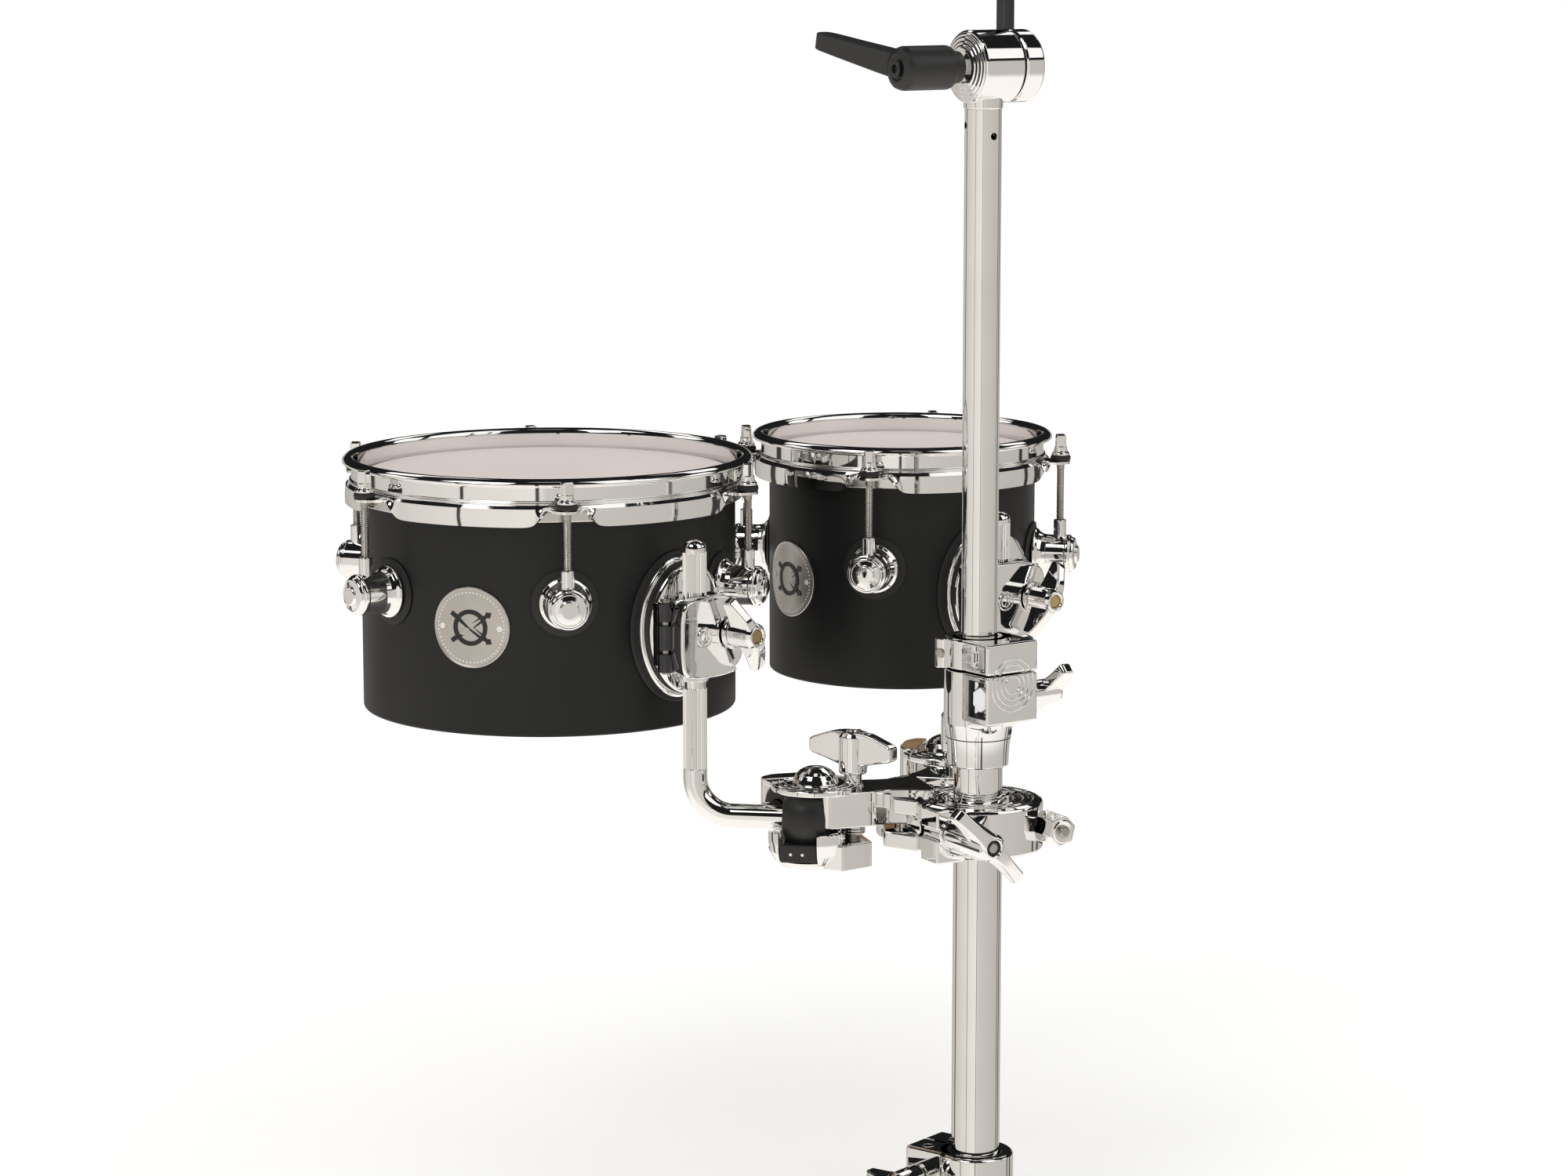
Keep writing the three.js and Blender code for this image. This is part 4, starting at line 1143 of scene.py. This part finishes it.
def make_arm_jaw(drum):
    """The jaw under the ball: a bowl and a pointed wedge that the wing bolt pulls up."""
    name = drum["name"]
    ball, to_hub, _ = arm_line(drum)
    _, along, _ = rod_line(drum)
    place, upright = at_ball(drum), (0, 0, 1)
    bowl = lathe(
        "bowl",
        [
            (0, JAW_FOOT), (12, JAW_FOOT), (17.5, 193.9), (21, 199.6), (22, 205.6), (22, 211), (18.4, 211),
            (17.8, 206), (13.9, 199.4), (7, 196.7), (0, 196.1),
        ],
        112, 0.9,
    )
    moved(bowl, Matrix.Translation(ball))
    boolean(bowl, moved(brick("window", ARM_WINDOW, (-40, 0), (JAW_FLOOR, 240), 0), place))
    slot = brick("slot", (-40, 26), (-8.5, 8.5), (JAW_SLOT, 240), 0)
    boolean(bowl, moved(slot, axes(ball, along, upright)))
    saddle = moved(brick("saddle", (-12.6, 7.2), (-18.4, -3), (195.8, 205.4), 1.2), place)
    globe = []
    for i in range(25):
        angle = math.pi * i / 24
        globe.append((18.0 * math.sin(angle), BALL_HEIGHT - 18.0 * math.cos(angle)))
    boolean(saddle, moved(lathe("globe", globe, 72, 0), Matrix.Translation(ball)))
    wedge = prism("wedge", [(3, -17), (12.5, -20.5), (30.5, -13.5), (30.5, 12), (8, 12)], JAW_FOOT, 204.8, 0)
    for v in wedge.data.vertices:
        if v.co.z < 200 and v.co.x < 10:
            v.co.z += 1.2
    bevel(wedge, 0.9, 4)
    spring = []
    for i in range(5):
        spring.append(tube("coil", 4.6, 6.6, 207.0 + i * 1.5, 208.0 + i * 1.5, 28, 0.3))
    spring = painted(merged("spring", spring), CHROME)
    moved(spring, shift(ARM_BOLT, 0))
    for piece in (wedge, spring):
        moved(piece, axes(ball, to_hub, upright))
    dots = []
    for x in (-6.8, -0.6):
        dots.append(
            moved(lathe("dot", [(0, 0.45), (0.6, 0.3), (0.9, 0)], 14, 0), facing_front((x, -18.3, 200.4)))
        )
    dots = painted(moved(merged("dots", dots), place), CREAM)
    boolean(wedge, moved(brick("window", ARM_WINDOW, (-40, 0), (JAW_FLOOR, 240), 0), place))
    boolean(wedge, moved(brick("relief", (-24, 17), (-8, 8), (JAW_SLOT, 240), 0), place))
    parts = [painted(bowl, CAST), painted(wedge, CAST), painted(saddle, NYLON), dots, spring]
    done(merged(f"{name}_lower_jaw", parts), None, f"{name}_jaw", f"{name}_arm_jaw", sharp=32)


def make_arm_wing(drum, turn):
    """The wing bolt that pulls a lower jaw up."""
    name = drum["name"]
    ball, to_hub, _ = arm_line(drum)
    bolt = wing("arm_wing", 7.5, 9, 31, 13.5, 31.6, 52, 7.5, 3.0, 5.5, 8.5)
    neck = painted(
        lathe(
            "neck", [(0, 1.4), (4.6, 1.4), (5.6, 1.8), (5.6, 2.8), (4.7, 3.2), (4.7, 11), (0, 11)], 32, 0.4,
        ),
        CHROME,
    )
    shank = painted(lathe("shank", [(0, -36.6), (3.2, -36.6), (3.8, -36), (3.8, 3), (0, 3)], 32, 0.2), STEEL)
    place = Matrix.Translation(ball + to_hub * ARM_BOLT + Vector((0, 0, CLAMP_HIGH + 0.4))) @ turn_z(turn)
    piece = moved(merged(f"{name}_arm_wing_bolt", [bolt, neck, shank]), place)
    done(piece, None, f"{name}_arm_bolt", f"{name}_arm_wing", sharp=32)


# ------------------------------------------------------------------ stand
def make_tubes():
    """The two chrome tubes, the upper one with two drilled holes."""
    lower = lathe(
        "lower_chrome_tube",
        [(0, 0), (12.2, 0), (TUBE, 0.6), (TUBE, 284.2), (12.3, 284.6), (10.7, 284.6), (10.6, 284),
         (10.6, 10), (0, 10)],
        96, 0.3,
    )
    done(lower, CHROME, "stand", "lower_tube")
    upper = lathe(
        "upper_chrome_tube",
        [(7.6, 150), (9.3, 150), (9.5, 150.4), (9.5, 586.2), (9.3, 586.5), (7.6, 586.5)], 96, 0.2,
        closed=True,
    )
    for x, z in ((-9.2, 578), (5.2, 572.6)):
        direction = Vector((x, -math.sqrt(max(0.0, 9.5**2 - x * x)), 0))
        drill = cylinder("drill", 1.9, 4, 14, 24, 0)
        moved(drill, axes((0, 0, z), (0, 0, 1), direction))
        boolean(upper, drill)
    done(upper, CHROME, "mast", "upper_tube", sharp=30)


def along_bolt(centre):
    """Puts a shape's own +Z along a clamp's cross bolt, and its wings upright."""
    return axes(centre, (0, 0, -1), (1, 0, 0))


def face_rings(radii):
    """Raised rings on the square face that the height clamp and the memory lock share."""
    return moved(raised_rings("rings", radii, 0.55, -0.5, 0.45, 72, 0.2), facing_front((0, -27.9, 293)))


def make_height_clamp():
    """The casting at the joint of the tubes: a tapering neck, and a box with a window and ringed face."""
    place = turn_z(HEIGHT_TURN)
    neck = lathe(
        "neck",
        [(TUBE + 0.3, 247), (15.3, 247), (15.7, 247.6), (15.9, 254), (16.6, 261), (18.2, 270),
         (18.2, 298.2), (INNER_TUBE + 0.5, 298.2),
         (INNER_TUBE + 0.5, 286), (TUBE + 0.3, 285)],
        96, 0.5, closed=True,
    )
    box = prism(
        "box", [(-16.7, -28), (16.7, -28), (16.7, 4), (13, 12), (-13, 12), (-16.7, 4)], 272.6, 298.3, 1.5,
        4, corner=2.0,
    )
    pocket = brick("pocket", (-17.5, -11.6), (-26.6, -12.4), (276, 295.4), 0.8)
    boolean(box, pocket)
    # thin sheets lining the pocket's walls, in painted shade: the pocket's inside is drawn dark
    edges = [
        brick("edge", (-16.4, -11.7), (-26.7, -26.1), (276.2, 295.2), 0),
        brick("edge", (-16.4, -11.7), (-12.9, -12.3), (276.2, 295.2), 0),
        brick("edge", (-16.4, -11.7), (-26.6, -12.4), (275.9, 276.5), 0),
        brick("edge", (-16.4, -11.7), (-26.6, -12.4), (294.9, 295.5), 0),
    ]
    pocket_painted_shade = painted(merged("pocket_painted_shade", edges), PAINTED_SHADE)
    bore = lambda: cylinder("bore", TUBE + 0.2, 240, 320, 64, 0)
    boolean(box, bore())
    brow = lathe("brow", [(0, 266), (3.4, 266.6), (6.4, 268.6), (8, 271.6), (8, 274), (0, 274)], 40, 0.8)
    moved(brow, shift(-5.5, -15.5))
    boolean(brow, bore())
    apron = prism(
        "apron", [(-12.5, -21), (12.5, -21), (15.6, -10), (15.6, 0), (-15.6, 0), (-15.6, -10)], 268.6, 273,
        0, corner=3,
    )
    for v in apron.data.vertices:
        if v.co.z < 270:
            v.co.y = min(v.co.y * 0.86, 0)
            v.co.x *= 0.98
    bevel(apron, 1.6, 4)
    boolean(apron, bore())
    face = face_rings((13.6, 10.6, 7.6, 4.6))
    cutter = brick("cutter", (-30, 30), (-40, -10), (298.3, 330), 0)
    boolean(face, cutter)
    # a dimple drawn in painted shade
    dimple = painted(lathe("dimple", [(0, 0.5), (1.7, 0.5), (2.0, 0.2), (2.2, -1)], 24, 0.1), PAINTED_SHADE)
    moved(dimple, axes((9.2, -14.6, 265.6), (0, 0, 1), (0.55, -0.83, 0.02)))
    # a slit in the neck drawn in painted shade
    cleft = painted(
        prism("cleft", [(-0.3, -17.2), (0.3, -17.2), (0.3, -13), (-0.3, -13)], 247.6, 266, 0), PAINTED_SHADE,
    )
    moved(cleft, turn_z(-33))
    # a groove round the neck drawn as a ring of painted shade
    line = painted(tube("line", 16.2, 16.9, 261.7, 262.2, 96, 0), PAINTED_SHADE)
    parts = [painted(p, CAST) for p in (neck, box, brow, apron, face)] + [dimple, cleft, line, pocket_painted_shade]
    done(
        moved(merged("height_clamp_casting", parts), place), None, "stand", "height_clamp",
        sharp=30,
    )

    head = prism("head", circle(6.6, 6), -14.9, -12, 0.4, 3)
    cap = lathe("cap", [(0, -15.15), (4.6, -15.1), (5.0, -14.8), (5.0, -14)], 36, 0.1)
    shank = cylinder("shank", 2.9, -12.2, 25, 24, 0.2)
    bolt = merged("height_hex_bolt", [head, cap, shank])
    done(
        moved(bolt, place @ along_bolt(HEIGHT_BOLT)), STEEL, "stand", "height_bolt",
        sharp=30,
    )

    turning = wing("height_wing", 6.5, 17.2, 36.6, 23.5, 37, 46, 6.0, 3.4, 5.0, 7.0)
    done(
        moved(turning, place @ along_bolt(HEIGHT_BOLT) @ turn_z(50)),
        None, "height_wing", "height_wing_nut", sharp=32,
    )


def make_memory_lock():
    """The hinged stop lock on the upper tube, resting on the height clamp."""
    place = turn_z(HEIGHT_TURN)
    low, high = 299.0, 315.1
    ring = lathe(
        "ring",
        [(INNER_TUBE + 0.35, low), (17.2, low), (18, low + 0.8), (18, high - 1), (17, high), (11.6, high),
         (11.2, high - 0.8), (INNER_TUBE + 0.35, high - 0.8)],
        96, 0.4, closed=True,
    )
    outline = [(-16.7, -28), (16.7, -28), (16.7, 0), (12.5, 10), (-12.5, 10), (-16.7, 0)]
    box = prism("box", outline, low, high, 1.5, 4, corner=2.0)
    boolean(box, cylinder("bore", INNER_TUBE + 0.45, 240, 340, 64, 0))
    well = moved(cylinder("well", 4.4, high - 4, high + 5, 40, 0), shift(6, -19.5))
    boolean(box, well)
    split = brick("split", (-20, -14.6), (-25.2, -13.8), (low + 2.4, high - 1.6), 0.5)
    boolean(box, split)
    tab = brick("tab", (-17.0, -14.2), (-15.6, -9.5), (low + 5.0, high - 5.2), 0.5)
    screw = moved(
        lathe(
            "screw",
            [(0, high - 2.2), (1.4, high - 2.2), (1.8, high - 1.2), (3.4, high - 1.2), (3.6, high - 4)], 24,
            0.2,
        ),
        shift(6, -19.5),
    )
    hinge = moved(cylinder("hinge", 4.9, low, high - 0.6, 32, 1.0), shift(-16.5, 8))
    pin = moved(
        lathe("pin", [(0, 1.2), (2.2, 0.9), (2.9, 0)], 24, 0.1),
        axes((-20.6, 6.4, 307), (0, 0, 1), (-0.95, -0.3, 0)),
    )
    face = face_rings((13.6, 10.6))
    boolean(face, brick("keep", (-30, 30), (-40, -10), (low + 0.1, 330), 0), "INTERSECT")
    parts = [
        painted(p, CAST) for p in (ring, box, hinge, face, tab)
    ] + [painted(screw, STEEL), painted(pin, STEEL)]
    done(
        moved(merged("memory_lock_casting", parts), place), None, "mast", "memory_lock",
        sharp=30,
    )


def make_base_clamp():
    """The clamp at the foot of the tube, with its wing bolt."""
    place = turn_z(BASE_TURN)
    ring = lathe(
        "ring", [(TUBE + 0.3, 8), (19, 8), (20, 9), (20, 37.8), (18.8, 39), (14.4, 39), (TUBE + 0.3, 38)],
        96, 0.5, closed=True,
    )
    box = prism("box", [(-16.5, -34), (16.5, -34), (16.5, 0), (-16.5, 0)], 8, 39, 1.8, 4, corner=2.5)
    boolean(box, cylinder("bore", TUBE + 0.25, 0, 60, 64, 0))
    boolean(box, brick("split", (-0.9, 0.9), (-50, 0), (0, 60), 0))
    boolean(box, brick("pocket", (-17.5, -12.2), (-31, -19), (14, 34), 0.8))
    holes = []
    for x, y in ((-9, -20), (9.5, -24)):
        hole = lathe("hole", [(0, 38.5), (2.2, 38.5), (2.5, 39.15), (3.4, 39.2), (3.7, 38.8)], 24, 0.15)
        holes.append(moved(hole, shift(x, y)))
    parts = [painted(ring, CAST), painted(box, CAST), painted(merged("holes", holes), CHROME)]
    head = prism("head", circle(6, 6), -15.8, -12.4, 0.5, 3)
    parts.append(painted(moved(head, axes(BASE_BOLT, (0, 0, 1), (1, 0, 0))), STEEL))
    done(
        moved(merged("base_clamp_casting", parts), place), None, "stand", "base_clamp",
        sharp=30,
    )
    turning = wing("base_wing", 6.5, 17, 37.6, 24.5, 38, 44, 6.0, 3.4, 5.0, 7.0)
    shank = painted(cylinder("shank", 2.9, -13, 27, 24, 0.2), STEEL)
    turning = merged("base_clamp_wing_bolt", [turning, shank])
    done(
        moved(turning, place @ along_bolt(BASE_BOLT) @ turn_z(90)),
        None, "base_wing", "base_clamp_wing", sharp=32,
    )


def toothed_ring(name, radius, low, high, teeth, depth):
    """A ring of fine radial teeth about +Z."""
    verts, sides = [], teeth * 4
    for z in (low, high):
        for k in range(sides):
            a = 2 * math.pi * k / sides
            r = radius - (depth if k % 4 in (0, 1) else 0.0)
            verts.append((r * math.cos(a), r * math.sin(a), z))
    faces = strips(2, sides) + [tuple(range(sides)), tuple(range(sides, 2 * sides))]
    return outward_faces(make(name, verts, faces))


def make_tilter():
    """The boom tilter: two toothed drums on one bolt, closed by a black lever."""
    place = turn_z(TILT_TURN, (0, 0, TILT_HEIGHT))
    level = axes((0, 0, 0), (1, 0, 0), (0, 1, 0))  # +Z of a lathe along the tilter's axis
    drum = lathe(
        "drum",
        [(0, -12.2), (7.5, -12.2), (8, -13.5), (10.6, -13.5), (11, -12.8), (12.6, -12.8), (13, -12.2),
         (14.8, -12.2), (15.2, -11.6), (16.6, -11.6),
         (17.0, -10.8), (17.6, -10.8), (18.5, -9.6), (18.5, 12.4), (17.6, 13.4), (0, 13.4)],
        96, 0.35,
    )
    neck = lathe("neck", [(0, -21.1), (9.9, -21.1), (10.1, -20.6), (10.3, -16), (12, -10), (0, -10)], 64, 0.4)
    body = [painted(moved(drum, level), CAST), painted(neck, CAST)]
    # the teeth are painted shade, drawn dark like the gaps between them
    teeth = painted(moved(toothed_ring("teeth", 17.4, 13.0, 14.3, 60, 0.9), level), PAINTED_SHADE)
    body.append(teeth)
    done(moved(merged("tilter_drum", body), place), None, "mast", "tilter_body", sharp=30)

    cap = lathe(
        "cap",
        [
            (0, 14.4), (17.4, 14.4), (18.5, 15.4), (18.5, 24.4), (17.4, 25.8), (12.4, 26.2), (11.8, 25.6),
            (9.4, 25.6), (8.8, 26.2), (0, 26.2),
        ],
        96, 0.4,
    )
    done(
        moved(painted(moved(cap, level), CAST), place), None, "tilter", "tilter_cap",
        sharp=30,
    )
    bolt = cylinder("bolt", 3.8, -21.5, 25, 24, 0.2)
    head = prism("head", circle(6.9, 6, 10), 26.4, 29.1, 0.5, 3)
    bolt = moved(merged("tilter_hex_bolt", [bolt, head]), place @ level)
    done(bolt, STEEL, "tilter", "tilter_bolt", sharp=30)

    rod = lathe(
        "boom_tube", [(0, -15.5), (4, -15.5), (4.6, -14.8), (4.6, 110.5), (2.6, 112.4), (0, 112.4)], 48,
        0.5,
    )
    # the boom tube's chrome has a painted dark reflection in its colour
    done(
        moved(rod, place @ shift(-9.4, 20)), PAINTED_REFLECTION_CHROME, "tilter", "boom_rod",
    )

    # the lever's own +Z runs out of the tilter's left face and its +X along the arm
    hub = lathe(
        "hub",
        [
            (0, 16), (7.4, 16), (8.2, 16.6), (8.2, 21), (10.7, 22.5), (11.2, 24), (11.2, 49.5),
            (10.2, 52.4), (7.4, 53.4), (6.2, 53.4), (5.6, 52.6), (0, 52.6),
        ],
        72, 0.5,
    )
    outline = [
        (2, 37), (2, 50.4), (16, 54.4), (38, 59.6), (56, 63.6), (60, 63.4), (62, 61.4), (62, 56),
        (60.4, 53.8), (56, 52), (38, 47.6), (18, 42),
    ]
    arm = prism("arm", outline, -5.4, 5.4, 0, corner=2)
    for v in arm.data.vertices:
        t = max(0.0, min(1.0, (v.co.x - 4) / 58))
        v.co.z *= 1.2 - 0.42 * t
    bevel(arm, 2.0, 5, 30)
    moved(arm, Matrix.Rotation(math.radians(90), 4, "X"))
    screw = painted(
        lathe(
            "screw",
            [
                (0, 52.4), (2.1, 52.4), (2.3, 53.4), (4.2, 53.6), (4.6, 54.4), (4.2, 54.9), (2.3, 54.9),
                (2.2, 53.2),
            ],
            32, 0.2,
        ),
        POWDER,
    )
    lever = merged("clamping_lever", [painted(hub, POWDER), painted(arm, POWDER), screw])
    done(
        moved(lever, place @ facing_front() @ turn_z(180 - 12)), None, "lever", "tilter_lever",
        sharp=32,
    )


# ------------------------------------------------------------------ assembly
set_camera()
set_stage()
set_world()
set_key_light()
for the_drum, arm_turn in ((LARGE, -36), (SMALL, 84)):
    make_shell(the_drum)
    make_head(the_drum)
    make_hoop(the_drum)
    for number, lug_bearing in enumerate(the_drum["lugs"], 1):
        make_lug(the_drum, number, lug_bearing)
        make_tension_rod(the_drum, number, lug_bearing)
    make_badge(the_drum)
    make_mount(the_drum)
    make_l_rod(the_drum)
    make_ball(the_drum)
    make_arm_jaw(the_drum)
    make_arm_wing(the_drum, arm_turn)
make_clamp()
make_clamp_jaw()
make_tubes()
make_height_clamp()
make_memory_lock()
make_base_clamp()
make_tilter()

bpy.context.scene.view_settings.view_transform = "Standard"
bpy.context.view_layer.update()
